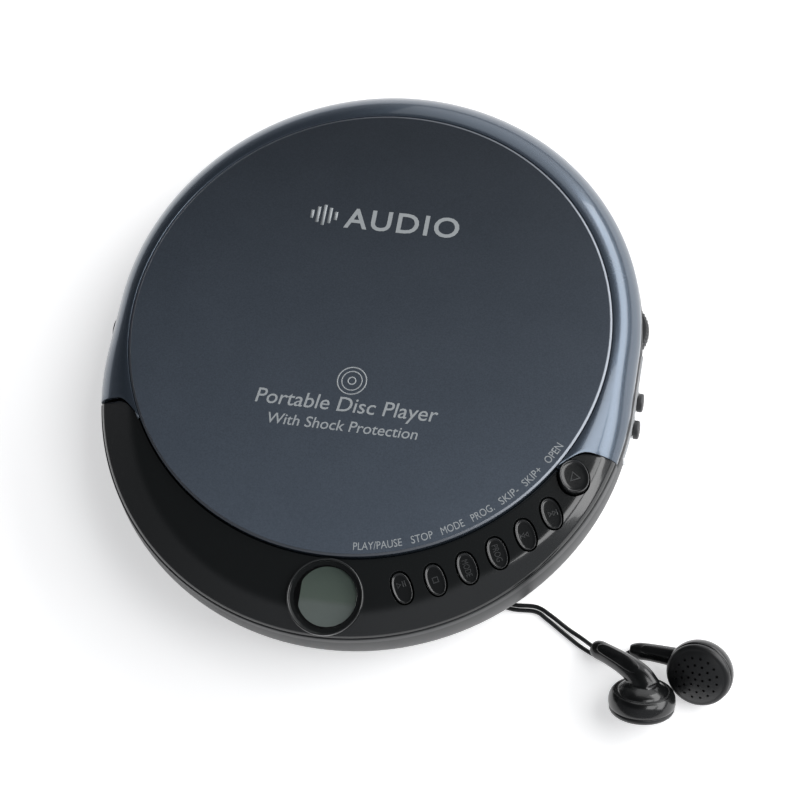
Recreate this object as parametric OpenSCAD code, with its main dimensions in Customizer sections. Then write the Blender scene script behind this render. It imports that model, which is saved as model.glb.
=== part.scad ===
// Portable disc player with earphones, lying flat on its feet.
// Origin: centre of the case's footprint on the surface it stands on. +Y is the hinge side, +Z is up.

/* [Case] */
// width of the case across the flat sides
body_w = 139; // [136:0.5:142]
// length of the case from hinge to display
body_l = 154; // [152:0.5:156]
// total height with feet and lid
body_h = 28; // [28:0.1:29]
// wall thickness of the lower case
wall = 1.8; // [1.6:0.1:2]
// height of the rubber feet below the case
foot_h = 2.5; // [2.2:0.1:2.8]

/* [Lid] */
// radius of the matt lid plate
plate_r = 62.5; // [62:0.1:63]
// gap between lid and front panel
lid_gap = 0.3; // [0.2:0.05:0.5]
// largest opening angle of the lid
lid_open = 75; // [60:1:80]

/* [Controls] */
// width of a small button
key_w = 4.8; // [4.4:0.1:5]
// length of a small button
key_l = 8; // [7.8:0.1:8.6]
// turn of the oval buttons away from the length of the case
key_turn = 27.7; // [0:0.1:40]
// clearance round a button
key_gap = 0.25; // [0.15:0.05:0.4]
// radius of the display ring
ring_r = 9.3; // [9:0.1:9.4]
// radius of the volume wheel
wheel_r = 9; // [8.6:0.1:9.2]

/* [Drive] */
// radius of the hub that centres the disc
hub_r = 7.4; // [7.3:0.05:7.45]
// height of the disc's underside
disc_z = 22; // [21.8:0.1:22.2]
// radius of the headphone socket's bore
phone_r = 1.8; // [1.76:0.01:1.85]

/* [Earphones] */
// diameter of one earphone strand
strand_d = 1.1; // [1:0.05:1.2]
// diameter of the main earphone lead
lead_d = 1.6; // [1.5:0.05:1.8]
// diameter of an earbud's front
bud_d = 16.5; // [16:0.1:17]

/* [Hidden] */
$fn = 96;
eps = 0.01;
end_r = body_w / 2;
end_y = (body_l - body_w) / 2;
disc_y = 4.7;
seam_y = -22.3;
base_z = foot_h;
floor_z = base_z + wall;
part_z = 19.5;
deck_z = 18;
lid_top = body_h - 0.2;
lid_low = part_z + 0.3;
lid_r = end_r - 0.2;
lid_front_r = plate_r + 0.5;
base_low = 24.6;
panel_in_r = lid_front_r + lid_gap + 0.05;
panel_z = 26.6;
panel_tilt = 8.5;
panel_r = end_r - 1.1;
hinge_y = 72;
hinge_z = 16.5;
hinge_x = 17;
// battery bay, two round cells side by side
bay_x = 27.5;
bay_y0 = 31;
bay_y1 = 62;
// small buttons: distance from the disc axis and directions
key_r = 70.2;
key_dir = [-72.8, -66, -59.3, -52.6, -45.8, -39];
open_key_r = 68.2;
open_key_dir = -30.3;
open_w = 7.4;
open_l = 8.6;
display_r = 72.65;
display_dir = -88.5;
feet_at = [[40, 42], [-40, 42], [40, -42], [-40, -42]];
screws_at = [[33, 60], [-33, 60], [56, -36], [-56, -36], [22, -67], [-22, -67]];
dampers_at = [[-31, -45], [31, -45], [-18, 22.5], [18, 22.5]];
wheel_at = [61.4, 16.7];
knob_at = [-2.5, -10];
side_z = 15;
phone_y = 2;
power_y = -12;
lens_y = disc_y - 23;
rod_x = 13;
screw_x = 20;
drive_z = 11.5;
ball_r = hub_r - 0.6;
ball_z = disc_z + 1.6;

screw_head_z = 4;
post_top = 16.6;
switch_at = [-64.3, -19.5];

// flat coil of the earphone lead under the case, wound double so that both ends leave it outside
coil_at = [0, -12.3];
coil_r = 21;

// earphone routes along the surface the player stands on
front_route = [[16.1, -42.9, 0.6], [24, -46.8, 0.6], [34, -52, 0.6], [44, -55.3, 0.6], [51, -55.2, 0.6],
    [55, -57, 0.9], [60, -60, 0.8], [63.6, -62, 1.3], [67.7, -65, 3.9]];
rear_route = [[15.6, -43.9, 0.6], [23.5, -47.9, 0.6], [33.5, -53.2, 0.6], [44, -56.5, 0.6], [51, -56.5, 0.6],
    [54.4, -58.2, 0.6], [59.4, -61.4, 0.6], [64, -64.2, 0.6], [69, -66.2, 0.6], [72.9, -66, 0.8],
    [75, -64.8, 1.5], [76.6, -63.9, 2.5]];
lead_route = [[9.2, -40.2, 0.8], [2.6, -37, 0.8], [-4, -33.7, 0.8]];
tail_route = [[4, 9.1, 0.8], [-5, 13.5, 0.8], [-14, 18.5, 0.8], [-20, 25.5, 0.8], [-23, 35, 0.8],
    [-23.5, 45, 0.8], [-23, 55, 0.8], [-22, 65, 0.8], [-23.5, 71.8, 0.8], [-28.5, 75.2, 1.1],
    [-34, 72.9, 2], [-38.2, 69.2, 3]];

// ---------- shared shapes ----------

// a profile carried round the case's outline: two half turns joined by a straight run
module around_case() {
  translate([0, end_y, 0]) rotate_extrude(angle = 180) children();
  translate([0, -end_y, 0]) rotate([0, 0, 180]) rotate_extrude(angle = 180) children();
  rotate([90, 0, 0]) linear_extrude(2 * end_y, center = true) {
    children();
    mirror([1, 0]) children();
  }
}

// a plain slab with the case's outline
module case_slab(r, z0, z1) {
  around_case() translate([0, z0]) square([r, z1 - z0]);
}

// everything on the front side of a line across the case
module front_of(y) {
  translate([-100, y - 200, -1]) cube([200, 200, 60]);
}

// outline with straight sides and round ends, long along Y
module oval(w, l) {
  square([w, l - w], center = true);
  translate([0, (l - w) / 2]) circle(d = w, $fn = 48);
  translate([0, -(l - w) / 2]) circle(d = w, $fn = 48);
}

// a place on the sloping front panel, seen from the disc axis, with Y kept along the case
module on_panel(r, dir) {
  translate([0, disc_y, 0]) rotate([0, 0, dir])
    translate([r, 0, panel_z - (r - panel_in_r) * tan(panel_tilt)])
      rotate([0, panel_tilt, 0]) rotate([0, 0, -dir]) children();
}

module on_disc_axis() {
  translate([0, disc_y, 0]) children();
}

function spline(a, b, c, d, t) =
  0.5 * (2 * b + (c - a) * t + (2 * a - 5 * b + 4 * c - d) * t * t + (3 * b - a - 3 * c + d) * t * t * t);

function padded(p) = concat([2 * p[0] - p[1]], p, [2 * p[len(p) - 1] - p[len(p) - 2]]);

function smooth(p, steps) = let (q = padded(p)) concat(
  [for (i = [1:len(p) - 1]) for (k = [0:steps - 1]) spline(q[i - 1], q[i], q[i + 1], q[i + 2], k / steps)],
  [p[len(p) - 1]]);

function unit(v) = v / norm(v);

// a cord: round rings swept along a smoothed route
module cord(route, d, steps) {
  sides = 8;
  path = smooth(route, steps);
  last = len(path) - 1;
  rings = [for (i = [0:last])
    let (t = unit(path[min(i + 1, last)] - path[max(i - 1, 0)]),
      s = unit(cross(t, [0, 0, 1])), u = cross(s, t))
    for (k = [0:sides - 1]) let (a = (k + 0.5) * 360 / sides) path[i] + d / 2 * (cos(a) * s + sin(a) * u)];
  polyhedron(rings, concat(
    [[for (k = [0:sides - 1]) k]],
    [for (i = [0:last - 1]) for (k = [0:sides - 1]) let (n = (k + 1) % sides)
      [i * sides + k, (i + 1) * sides + k, (i + 1) * sides + n, i * sides + n]],
    [[for (k = [sides - 1:-1:0]) last * sides + k]]), convexity = 10);
}

// ---------- case ----------

// outer profile of the lower case
module shell_profile(t) {
  polygon([[0, base_z + t], [58 - t, base_z + t], [62.5 - t, 3.2 + t * 0.9], [65.5 - t, 4.9 + t * 0.6],
    [67.6 - t, 7.4 + t * 0.4], [68.9 - t, 10.2], [end_r - t, 13], [end_r - t, 18.4],
    [end_r - 0.7 - t, part_z], [0, part_z]]);
}

module bottom_shell() {
  color("dimgray")
  difference() {
    union() {
      difference() {
        around_case() shell_profile(0);
        translate([0, 0, eps]) around_case() shell_profile(wall);
        translate([0, 0, part_z - 1]) case_slab(end_r - wall, 0, 3);
      }
      // battery bay walls
      difference() {
        translate([-bay_x - 1.2, bay_y0 - 1.2, floor_z - eps])
          cube([2 * bay_x + 2.4, bay_y1 - bay_y0 + 2.4, deck_z - floor_z]);
        translate([-bay_x, bay_y0, 0]) cube([2 * bay_x, bay_y1 - bay_y0, 30]);
      }
      for (p = screws_at) translate([p[0], p[1], screw_head_z - 0.2]) 
        cylinder(r = 2.8, h = post_top - screw_head_z + 0.2, $fn = 32);
      for (p = dampers_at)
        translate([p[0], p[1], floor_z - eps]) cylinder(r = 1.3, h = 10.5 - floor_z, $fn = 32);
      // main board stands
      for (x = [-56, -38]) for (y = [-19, 21])
        translate([x, y, floor_z - eps]) cylinder(r = 2, h = 8 - floor_z, $fn = 32);
      // volume potentiometer stand
      translate([wheel_at[0] - 1.5, wheel_at[1], floor_z - eps]) cylinder(r = 3, h = 8 - floor_z, $fn = 32);
      // solid block that carries the hinge pins
      intersection() {
        around_case() shell_profile(0);
        translate([-24.6, 67.2, 7]) cube([49.2, 20, part_z - 7]);
      }
    }
    // battery bay mouth and the door's track out to the hinge side
    translate([-bay_x, bay_y0, 0]) cube([2 * bay_x, bay_y1 - bay_y0, 10]);
    translate([-bay_x - 0.4, bay_y0 - 0.4, 0]) cube([2 * bay_x + 0.8, 60, base_z + 1]);
    for (p = feet_at) translate([p[0], p[1], 0]) cylinder(r = 5.1, h = base_z + 0.5, $fn = 48);
    for (p = screws_at) translate([p[0], p[1], 0]) {
      cylinder(r = 2.2, h = screw_head_z + 1, $fn = 32);
      cylinder(r = 1, h = 16, $fn = 32);
    }
    // slots for volume wheel and slide switches, holes for the sockets
    translate([60, wheel_at[1] - 7.6, side_z - 1.8]) cube([20, 16.1, 3.6]);
    for (y = knob_at) translate([60, y - 1.5, side_z - 1.3]) cube([20, 5, 2.6]);
    translate([-60, phone_y, 13]) rotate([0, -90, 0]) cylinder(r = 3.8, h = 20, $fn = 48);
    translate([-60, power_y, 13]) rotate([0, -90, 0]) cylinder(r = 4.2, h = 20, $fn = 48);
    // hinge: the recess the lid's rear edge turns into, arm and spring pockets, pin bores
    translate([-hinge_x - 5.6, hinge_y + 1.6, hinge_z - 5]) cube([2 * hinge_x + 11.2, 12, 10]);
    for (s = [-1, 1]) {
      translate([s * hinge_x - 2.3, hinge_y - 2.8, hinge_z - 2.8]) cube([4.6, 12, 10]);
      translate([s * hinge_x - 4.3, hinge_y, hinge_z]) rotate([0, 90, 0]) cylinder(r = 1, h = 8.6, $fn = 32);
    }
    translate([5, hinge_y - 2.8, hinge_z - 2.8]) cube([6, 12, 10]);
    translate([4, hinge_y, hinge_z]) rotate([0, 90, 0]) cylinder(r = 1, h = 12, $fn = 32);
  }
}

module top_deck() {
  color("darkslategray")
  difference() {
    union() {
      intersection() {
        case_slab(end_r - wall - 0.2, deck_z, part_z);
        union() {
          on_disc_axis() cylinder(r = 63, h = 40);
          translate([-100, seam_y, 0]) cube([200, 200, 40]);
        }
      }
      on_disc_axis() difference() {
        translate([0, 0, part_z - eps]) cylinder(r = 63, h = 3.5);
        cylinder(r = 61.6, h = 40);
      }
    }
    // drive window
    intersection() {
      translate([-16.5, -60, 0]) cube([33, 84, 40]);
      on_disc_axis() cylinder(r = 61.2, h = 40);
    }
    // clearance round the hinge block
    translate([-hinge_x - 7.8, hinge_y - 5, 0]) cube([2 * hinge_x + 15.6, 20, 40]);
    // notch for the latch hook, hole for the lid switch
    on_disc_axis() rotate([0, 0, open_key_dir]) translate([61.3, -3, part_z]) cube([4, 6, 10]);
    translate([switch_at[0], switch_at[1], 0]) cylinder(r = 1.4, h = 40, $fn = 32);
  }
}

module panel_solid(t) {
  intersection() {
    around_case() polygon(concat([[0, 10], [panel_r - t, 10], [panel_r - t, 21.4]],
      [for (a = [15:15:75]) [panel_r - t - 3.6 + 3.6 * cos(a), 21.4 + 3.6 * sin(a) - t * sin(a)]],
      [[panel_r - t - 3.6, 25 - t], [40, 29.2 - t], [0, 29.2 - t]]));
    on_disc_axis() rotate_extrude()
      polygon([[0, 0], [95, 0], [95, panel_z - t - (95 - panel_in_r) * tan(panel_tilt)],
        [panel_in_r, panel_z - t], [0, panel_z - t]]);
  }
}

module front_panel() {
  color("black")
  difference() {
    panel_solid(0);
    difference() {
      panel_solid(1.8);
      // inner and end walls stay solid
      on_disc_axis() cylinder(r = panel_in_r + 1.5, h = 60);
      translate([-100, seam_y - lid_gap - 1.6, -1]) cube([200, 20, 60]);
    }
    translate([0, 0, part_z - 50]) cube([300, 300, 100], center = true);
    on_disc_axis() translate([0, 0, -1]) cylinder(r = panel_in_r, h = 60);
    translate([-100, seam_y - lid_gap, -1]) cube([200, 200, 60]);
    for (a = key_dir) on_panel(key_r, a) rotate([0, 0, key_turn]) {
      translate([0, 0, -1]) linear_extrude(5) oval(key_w + 1.1, key_l + 1.1);
      translate([0, 0, -12]) linear_extrude(15) oval(key_w + 2 * key_gap, key_l + 2 * key_gap);
    }
    on_panel(open_key_r, open_key_dir) rotate([0, 0, key_turn]) {
      translate([0, 0, -1.2]) linear_extrude(5) oval(open_w + 0.8, open_l + 1.2);
      translate([0, 0, -12]) linear_extrude(15) oval(open_w + 2 * key_gap, open_l + 2 * key_gap);
    }
    on_panel(display_r, display_dir) translate([0, 0, -12]) cylinder(r = ring_r - 0.8, h = 15, $fn = 96);
    // notch the latch tongue passes through
    on_disc_axis() rotate([0, 0, open_key_dir]) translate([60, -2.8, 10]) cube([9, 5.6, 11.3]);
  }
}

module side_trim() {
  color("silver")
  difference() {
    intersection() {
      difference() {
        case_slab(end_r + 0.5, side_z - 2.3, side_z + 2.3);
        case_slab(end_r + eps, 0, 30);
      }
      translate([50, -19, 0]) cube([40, 28.5, 40]);
    }
    for (y = knob_at) translate([60, y - 1.5, side_z - 1.3]) cube([20, 5, 2.6]);
  }
}

module battery_contacts() {
  color("silver")
  for (s = [-1, 1]) for (y = [39, 54]) translate([s * (bay_x - 0.2), y, 11]) {
    cube([0.4, 9, 9], center = true);
    translate([-s * 0.2, 0, 0]) rotate([0, -s * 90, 0])
      cylinder(r1 = 3.4, r2 = 1.8, h = 1.6, $fn = 32);
  }
}

module battery_door() {
  color("dimgray")
  translate([-bay_x + 0.1, bay_y0 + 0.1, base_z + 0.05]) difference() {
    cube([2 * bay_x - 0.2, bay_y1 - bay_y0 - 0.2, 0.85]);
    for (y = [2:1.6:10]) translate([bay_x - 9, y + 15, -1]) cube([18, 0.7, 1.3]);
  }
}

module rubber_feet() {
  color("#222222")
  for (p = feet_at) translate([p[0], p[1], 0]) {
    cylinder(r1 = 4.6, r2 = 5, h = 0.6, $fn = 48);
    translate([0, 0, 0.6 - eps]) cylinder(r = 5, h = base_z + 0.5 - 0.6, $fn = 48);
  }
}

module case_screws() {
  color("gray")
  for (p = screws_at) translate([p[0], p[1], 0]) difference() {
    union() {
      translate([0, 0, screw_head_z]) cylinder(r = 1.9, h = 0.98, $fn = 32);
      translate([0, 0, screw_head_z + 0.9]) cylinder(r = 0.95, h = 10.9, $fn = 32);
    }
    for (a = [0, 90]) rotate([0, 0, a]) translate([0, 0, screw_head_z]) cube([2.2, 0.45, 1], center = true);
  }
}

// ---------- lid ----------

module lid_profile(t) {
  foot_z = t > 0 ? lid_low - 1 : lid_low;
  turn_z = lid_low + 1.2;
  polygon(concat([[0, foot_z], [lid_r - t, foot_z], [lid_r - t, turn_z]],
    [for (a = [12:13:77]) [lid_r - 7 + (7 - t) * cos(a), turn_z + (lid_top - turn_z - t) * sin(a)]],
    [[lid_r - 7, lid_top - t], [0, lid_top - t]]));
}

// outer rim of the lid, behind the seam, with the hinge arms and the pin that presses the lid switch
module lid_rim() {
  color("slategray") {
    difference() {
      union() {
        difference() {
          around_case() lid_profile(0);
          front_of(seam_y);
          difference() {
            around_case() lid_profile(1.7);
            front_of(seam_y + 1.6);
          }
        }
        for (s = [-1, 1]) translate([s * hinge_x - 1.9, 0, 0]) hinge_arm();
      }
      on_disc_axis() translate([0, 0, 10]) cylinder(r = lid_front_r, h = 30);
      translate([-30, hinge_y, hinge_z]) rotate([0, 90, 0]) cylinder(r = 1.06, h = 60, $fn = 32);
    }
    translate([switch_at[0] - 1, switch_at[1] - 1.4, 20.2]) cube([2, 2, 5.4]);
  }
}

// round base under the lid plate
module lid_base() {
  color("slategray")
  on_disc_axis() difference() {
    translate([0, 0, base_low]) cylinder(r = lid_front_r, h = lid_top - base_low);
    translate([0, 0, body_h - 1.1]) cylinder(r = plate_r + 0.05, h = 5);
    translate([0, 0, 10]) cylinder(r = plate_r - 0.6, h = 16);
  }
}

// hook in front that the latch holds
module lid_hook() {
  color("slategray")
  on_disc_axis() rotate([0, 0, open_key_dir]) translate([61.95, -2, 20.2]) cube([0.95, 4, base_low - 20.2]);
}

module hinge_arm() {
  translate([0, hinge_y, hinge_z]) rotate([0, 90, 0]) cylinder(r = 2.4, h = 3.8, $fn = 48);
  translate([0, hinge_y - 2.4, hinge_z]) cube([3.8, 4, 9.3]);
}

module lid_plate() {
  color("#3a444e")
  on_disc_axis() translate([0, 0, body_h - 1.1]) cylinder(r = plate_r, h = 1.1);
}

module lid_liner() {
  color("#222222")
  on_disc_axis() difference() {
    translate([0, 0, 25]) cylinder(r = 60.5, h = 1);
    translate([0, 0, 24]) cylinder(r = 9, h = 1.6);
  }
}

module hinge_pins() {
  color("silver")
  {
    translate([-hinge_x - 4.2, hinge_y, hinge_z]) rotate([0, 90, 0]) cylinder(r = 1, h = 8.4, $fn = 32);
    translate([4.1, hinge_y, hinge_z]) rotate([0, 90, 0]) cylinder(r = 1, h = hinge_x + 0.1, $fn = 32);
  }
}

module lid_spring() {
  color("silver")
  for (x = [5.7:1:10.2]) translate([x, hinge_y, hinge_z]) rotate([0, 90, 0])
    rotate_extrude($fn = 48) translate([1.6, 0]) circle(r = 0.49, $fn = 16);
}

// ---------- controls ----------

module small_button() {
  translate([0, 0, -1.2]) linear_extrude(1.4) oval(key_w, key_l);
  translate([0, 0, -3.4]) linear_extrude(2.3) oval(key_w, key_l);
  translate([0, 0, -4]) cylinder(r = 1.2, h = 0.8, $fn = 32);
}

module small_button_at(i) {
  color("#1a1a1a") on_panel(key_r, key_dir[i]) rotate([0, 0, key_turn]) small_button();
}

module button_play() { small_button_at(0); }
module button_stop() { small_button_at(1); }
module button_mode() { small_button_at(2); }
module button_prog() { small_button_at(3); }
module button_skip_back() { small_button_at(4); }
module button_skip_forward() { small_button_at(5); }

module open_button() {
  color("#1a1a1a")
  on_panel(open_key_r, open_key_dir) rotate([0, 0, key_turn]) {
    translate([0, 0, -2.9]) linear_extrude(4.6) oval(open_w, open_l);
    translate([0, 0, 1.69]) linear_extrude(0.5) oval(open_w - 1.2, open_l - 1.2);
    translate([0, 0, -3.5]) cylinder(r = 1.6, h = 0.7, $fn = 32);
  }
}

module latch_slide() {
  color("gray")
  on_disc_axis() rotate([0, 0, open_key_dir]) difference() {
    union() {
      translate([64.4, -3, 17]) cube([5.6, 6, 1.6]);
      translate([64.4, -2, 18.5]) cube([1.6, 4, 2.3]);
      translate([63.15, -2, 19.8]) cube([1.4, 4, 1]);
    }
    translate([68, 0, 10]) cylinder(r = 1.2, h = 10, $fn = 32);
  }
}

module display_ring() {
  color("black")
  on_panel(display_r, display_dir) difference() {
    union() {
      translate([0, 0, -2.6]) cylinder(r = ring_r - 0.9, h = 3.2, $fn = 96);
      rotate_extrude($fn = 96) polygon([[ring_r - 1.9, 0.05], [ring_r, 0.05], [ring_r, 0.4],
        [ring_r - 0.4, 0.9], [ring_r - 1, 1.1], [ring_r - 1.9, 0.8]]);
    }
    translate([0, 0, -3]) cylinder(r = ring_r - 1.7, h = 6, $fn = 96);
  }
}

module display_lens() {
  color("#8899998a")
  on_panel(display_r, display_dir) translate([0, 0, -0.5]) cylinder(r = ring_r - 1.7, h = 0.9, $fn = 96);
}

module lcd_panel() {
  color("#5f6b5f")
  on_panel(display_r, display_dir) translate([0, 0, -3.1]) linear_extrude(1.9)
    square([12, 8.8], center = true);
}

module key_board() {
  color("darkgreen")
  on_disc_axis() translate([0, 0, post_top]) rotate([0, 0, -97]) rotate_extrude(angle = 62)
    translate([64.2, 0]) square([7.6, 1.2]);
}

module key_switches() {
  color("gray") {
    for (a = key_dir) on_disc_axis() rotate([0, 0, a]) translate([key_r - 0.9, 0, post_top + 1.2]) {
      translate([-2.2, -2.2, 0]) cube([4.4, 4.4, 1.8]);
      cylinder(r = 1.1, h = 2.5, $fn = 24);
    }
  }
}

module slide_switches() {
  color("silver")
  for (y = knob_at) translate([62.2, y - 2.6, side_z - 2.5]) cube([3.6, 7.2, 5]);
}

module switch_knob(y) {
  translate([66, y - 1.1, side_z - 1.1]) cube([4.2, 2.2, 2.2]);
  translate([end_r + 0.6, y, side_z]) rotate([0, 90, 0]) {
    cylinder(r = 2.4, h = 0.5, $fn = 48);
    translate([0, 0, 0.5 - eps]) cylinder(r1 = 2.4, r2 = 2, h = 0.35, $fn = 48);
  }
}

module bass_knob() { color("#333333") switch_knob(knob_at[0]); }
module hold_knob() { color("#333333") switch_knob(knob_at[1]); }

module volume_wheel() {
  color("#222222")
  translate([wheel_at[0], wheel_at[1], side_z - 1.4]) difference() {
    cylinder(r = wheel_r, h = 2.8, $fn = 96);
    for (a = [0:10:350]) rotate([0, 0, a]) translate([wheel_r - 0.35, -0.35, -1]) cube([2, 0.7, 6]);
    translate([0, 0, -1]) cylinder(r = 1.56, h = 6, $fn = 32);
  }
}

module volume_pot() {
  color("gray")
  translate([wheel_at[0], wheel_at[1], 0]) {
    translate([-1.5, 0, 8]) cylinder(r = 4.4, h = 5.2, $fn = 48);
    translate([0, 0, 12]) cylinder(r = 1.5, h = 4.6, $fn = 32);
  }
}

// ---------- electronics ----------

module main_board() {
  color("darkgreen")
  translate([-60, -22, 8]) difference() {
    cube([26, 46, 1.6]);
    for (x = [4, 22]) for (y = [3, 43]) translate([x, y, -1]) cylinder(r = 0.9, h = 4, $fn = 24);
  }
}

module board_parts() {
  color("#202020") {
    translate([-48, -2, 9.6]) cube([10, 10, 1.4]);
    translate([-47, -18, 9.6]) cube([8, 6, 1.2]);
    translate([-46, 14, 9.6]) cube([5, 6, 1.2]);
    translate([-54, 14, 9.6]) cylinder(r = 2.5, h = 6, $fn = 32);
    translate([-37, -8, 9.6]) cube([2.4, 16, 2.2]);
  }
}

module headphone_jack() {
  color("#202020")
  difference() {
    union() {
      translate([-66.5, phone_y - 4, 9.6]) cube([14, 8, 6.6]);
      translate([-66, phone_y, 13]) rotate([0, -90, 0]) cylinder(r = 3.6, h = 4.5, $fn = 48);
    }
    translate([-54.5, phone_y, 13]) rotate([0, -90, 0]) cylinder(r = phone_r, h = 30, $fn = 48);
  }
}

module power_jack() {
  color("#202020") {
    difference() {
      union() {
        translate([-66, power_y - 4.5, 9.6]) cube([12, 9, 7.4]);
        translate([-65.8, power_y, 13]) rotate([0, -90, 0]) cylinder(r = 4, h = 3.5, $fn = 48);
      }
      translate([-57, power_y, 13]) rotate([0, -90, 0]) cylinder(r = 2.8, h = 30, $fn = 48);
    }
    translate([-56.9, power_y, 13]) rotate([0, -90, 0]) cylinder(r = 0.8, h = 11, $fn = 24);
  }
}

module lid_switch() {
  color("#202020")
  translate([switch_at[0], switch_at[1], 0]) {
    translate([-1.2, -3.5, 12.4]) cube([5, 5.8, deck_z - 12.4]);
    translate([0, 0, deck_z - eps]) cylinder(r = 0.9, h = 1.9, $fn = 24);
  }
}

module flat_cable() {
  color("#c8b070")
  translate([-34.3, -6, 9.9]) {
    cube([1.6, 12, 0.3]);
    translate([1.3, 0, -2.2]) cube([0.3, 12, 2.5]);
    translate([1.3, 0, -2.2]) cube([7, 12, 0.3]);
  }
}

// ---------- drive ----------

module mech_chassis() {
  color("darkslategray")
  difference() {
    union() {
      translate([-25, -62.5, 6.1]) cube([50, 80.5, 1.4]);
      for (p = dampers_at) translate([p[0], p[1], 6.1]) cylinder(r = 5.4, h = 1.4, $fn = 48);
      translate([-31, -49, 6.1]) cube([62, 8, 1.4]);
      translate([-25, -62.5, 7.4]) cube([50, 2.5, 7.4]);
      translate([-25, -9.6, 7.4]) cube([11, 2.4, 7.4]);
      translate([10.6, -9.6, 7.4]) cube([14.4, 2.4, 7.4]);
    }
    // window under the pickup
    translate([-17, -57, 0]) cube([34, 45, 7.6]);
    for (p = dampers_at) translate([p[0], p[1], 0]) cylinder(r = 2.6, h = 20, $fn = 32);
    for (x = [-rod_x, rod_x]) translate([x, -66, drive_z]) rotate([-90, 0, 0])
      cylinder(r = 1.5, h = 60, $fn = 32);
    translate([screw_x, -61.2, drive_z]) rotate([-90, 0, 0]) cylinder(r = 1.6, h = 60, $fn = 32);
  }
}

module chassis_dampers() {
  color("#222222")
  for (p = dampers_at) translate([p[0], p[1], 0]) rotate_extrude($fn = 48)
    polygon([[1.4, floor_z + 2 * eps], [4, floor_z + 2 * eps], [4, 6.1], [2.5, 6.1], [2.5, 7.5], [4, 7.5],
      [3.6, 9.4], [1.4, 9.4]]);
}

module spindle_motor() {
  color("silver")
  on_disc_axis() difference() {
    union() {
      translate([0, 0, 7.5]) cylinder(r = 11.5, h = 6, $fn = 64);
      translate([0, 0, 13.49]) cylinder(r = 4, h = 1.6, $fn = 48);
    }
    translate([0, 0, 9]) cylinder(r = 1.06, h = 20, $fn = 32);
  }
}

module turntable() {
  color("#303030")
  on_disc_axis() difference() {
    union() {
      translate([0, 0, 9.6]) cylinder(r = 1, h = 12, $fn = 32);
      translate([0, 0, disc_z - 1.8]) cylinder(r = 15, h = 1.8, $fn = 96);
      translate([0, 0, disc_z - 3.4]) cylinder(r = 5, h = 2, $fn = 48);
      translate([0, 0, disc_z - eps]) cylinder(r = hub_r, h = 1.9, $fn = 96);
      translate([0, 0, disc_z + 1.88]) cylinder(r1 = hub_r, r2 = hub_r - 0.9, h = 0.5, $fn = 96);
    }
    for (a = [30, 150, 270]) rotate([0, 0, a])
      translate([ball_r, 0, ball_z]) sphere(r = 0.65, $fn = 32);
  }
}

module hub_balls() {
  color("silver")
  on_disc_axis() for (a = [30, 150, 270]) rotate([0, 0, a])
    translate([ball_r, 0, ball_z]) sphere(r = 0.58, $fn = 32);
}

module guide_rods() {
  color("silver")
  for (x = [-rod_x, rod_x]) translate([x, -62.4, drive_z]) rotate([-90, 0, 0])
    cylinder(r = 1.5, h = 55.2, $fn = 32);
}

module lead_screw() {
  color("silver")
  translate([screw_x, -61, drive_z]) rotate([-90, 0, 0]) {
    cylinder(r = 1.1, h = 56.2, $fn = 32);
    for (i = [0:14]) translate([0, 0, 4 + i * 3]) cylinder(r = 1.5, h = 1.6, $fn = 32);
  }
}

module sled_motor() {
  color("silver")
  difference() {
    translate([screw_x, -7.2, drive_z]) rotate([-90, 0, 0]) cylinder(r = 3.9, h = 14, $fn = 48);
    translate([screw_x, -8, drive_z]) rotate([-90, 0, 0]) cylinder(r = 1.2, h = 4, $fn = 32);
  }
}

module pickup_sled() {
  color("#404040")
  difference() {
    union() {
      translate([-15.5, lens_y - 4.8, 8.9]) cube([31, 9.6, 5]);
      translate([-8, lens_y - 4.8, 13.8]) cube([16, 9.6, 1.8]);
      translate([15.4, lens_y - 3, 13.2]) cube([6, 6, 0.7]);
    }
    for (x = [-rod_x, rod_x]) translate([x, -80, drive_z]) rotate([-90, 0, 0])
      cylinder(r = 1.56, h = 90, $fn = 32);
    translate([0, lens_y, 9.9]) cylinder(r = 2, h = 20, $fn = 32);
  }
}

module lens_holder() {
  color("#202020")
  translate([0, lens_y, 0]) {
    translate([-5, -2.6, 16.3]) cube([10, 5.2, 2.6]);
    translate([0, 0, 18.8]) cylinder(r = 2.6, h = 1, $fn = 48);
    translate([0, 0, 19.79]) cylinder(r1 = 2, r2 = 1.2, h = 0.6, $fn = 48);
  }
}

// ---------- earphones ----------

module split_piece() {
  color("#1a1a1a")
  translate([13, -42, 1.1]) rotate([0, 0, -26]) rotate([0, 90, 0])
    translate([0, 0, -4.2]) cylinder(r = 1.1, h = 7.4, $fn = 24);
}

module plug() {
  color("#1a1a1a")
  translate([-38.2, 69.2, 3]) rotate([0, 0, 223]) rotate([0, 90, 0]) {
    cylinder(r1 = 1.2, r2 = 1.7, h = 4, $fn = 32);
    translate([0, 0, 4 - eps]) cylinder(r = 2.9, h = 9, $fn = 48);
    translate([0, 0, 13 - 2 * eps]) cylinder(r = 1.75, h = 12, $fn = 32);
    translate([0, 0, 25 - 3 * eps]) cylinder(r1 = 1.75, r2 = 0.6, h = 2, $fn = 32);
  }
}

module cord_coil() {
  color("#1a1a1a")
  translate([coil_at[0], coil_at[1], 0]) rotate_extrude() square([coil_r + lead_d / 2, lead_d]);
}

module lead_cord() { color("#1a1a1a") cord(lead_route, lead_d, 2); }
module tail_cord() { color("#1a1a1a") cord(tail_route, lead_d, 2); }
module front_strand() { color("#1a1a1a") cord(front_route, strand_d, 2); }
module rear_strand() { color("#1a1a1a") cord(rear_route, strand_d, 2); }

// housing of an earbud, front facing +Z of its own frame
module bud_shell() {
  r = bud_d / 2;
  rotate_extrude($fn = 64) polygon([[0, -4.4], [r - 4.2, -4], [r - 1.8, -2.8], [r - 0.8, -2.4],
    [r - 0.15, -1.2], [r, 0], [r - 0.2, 1.4], [0, 1.4]]);
}

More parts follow.
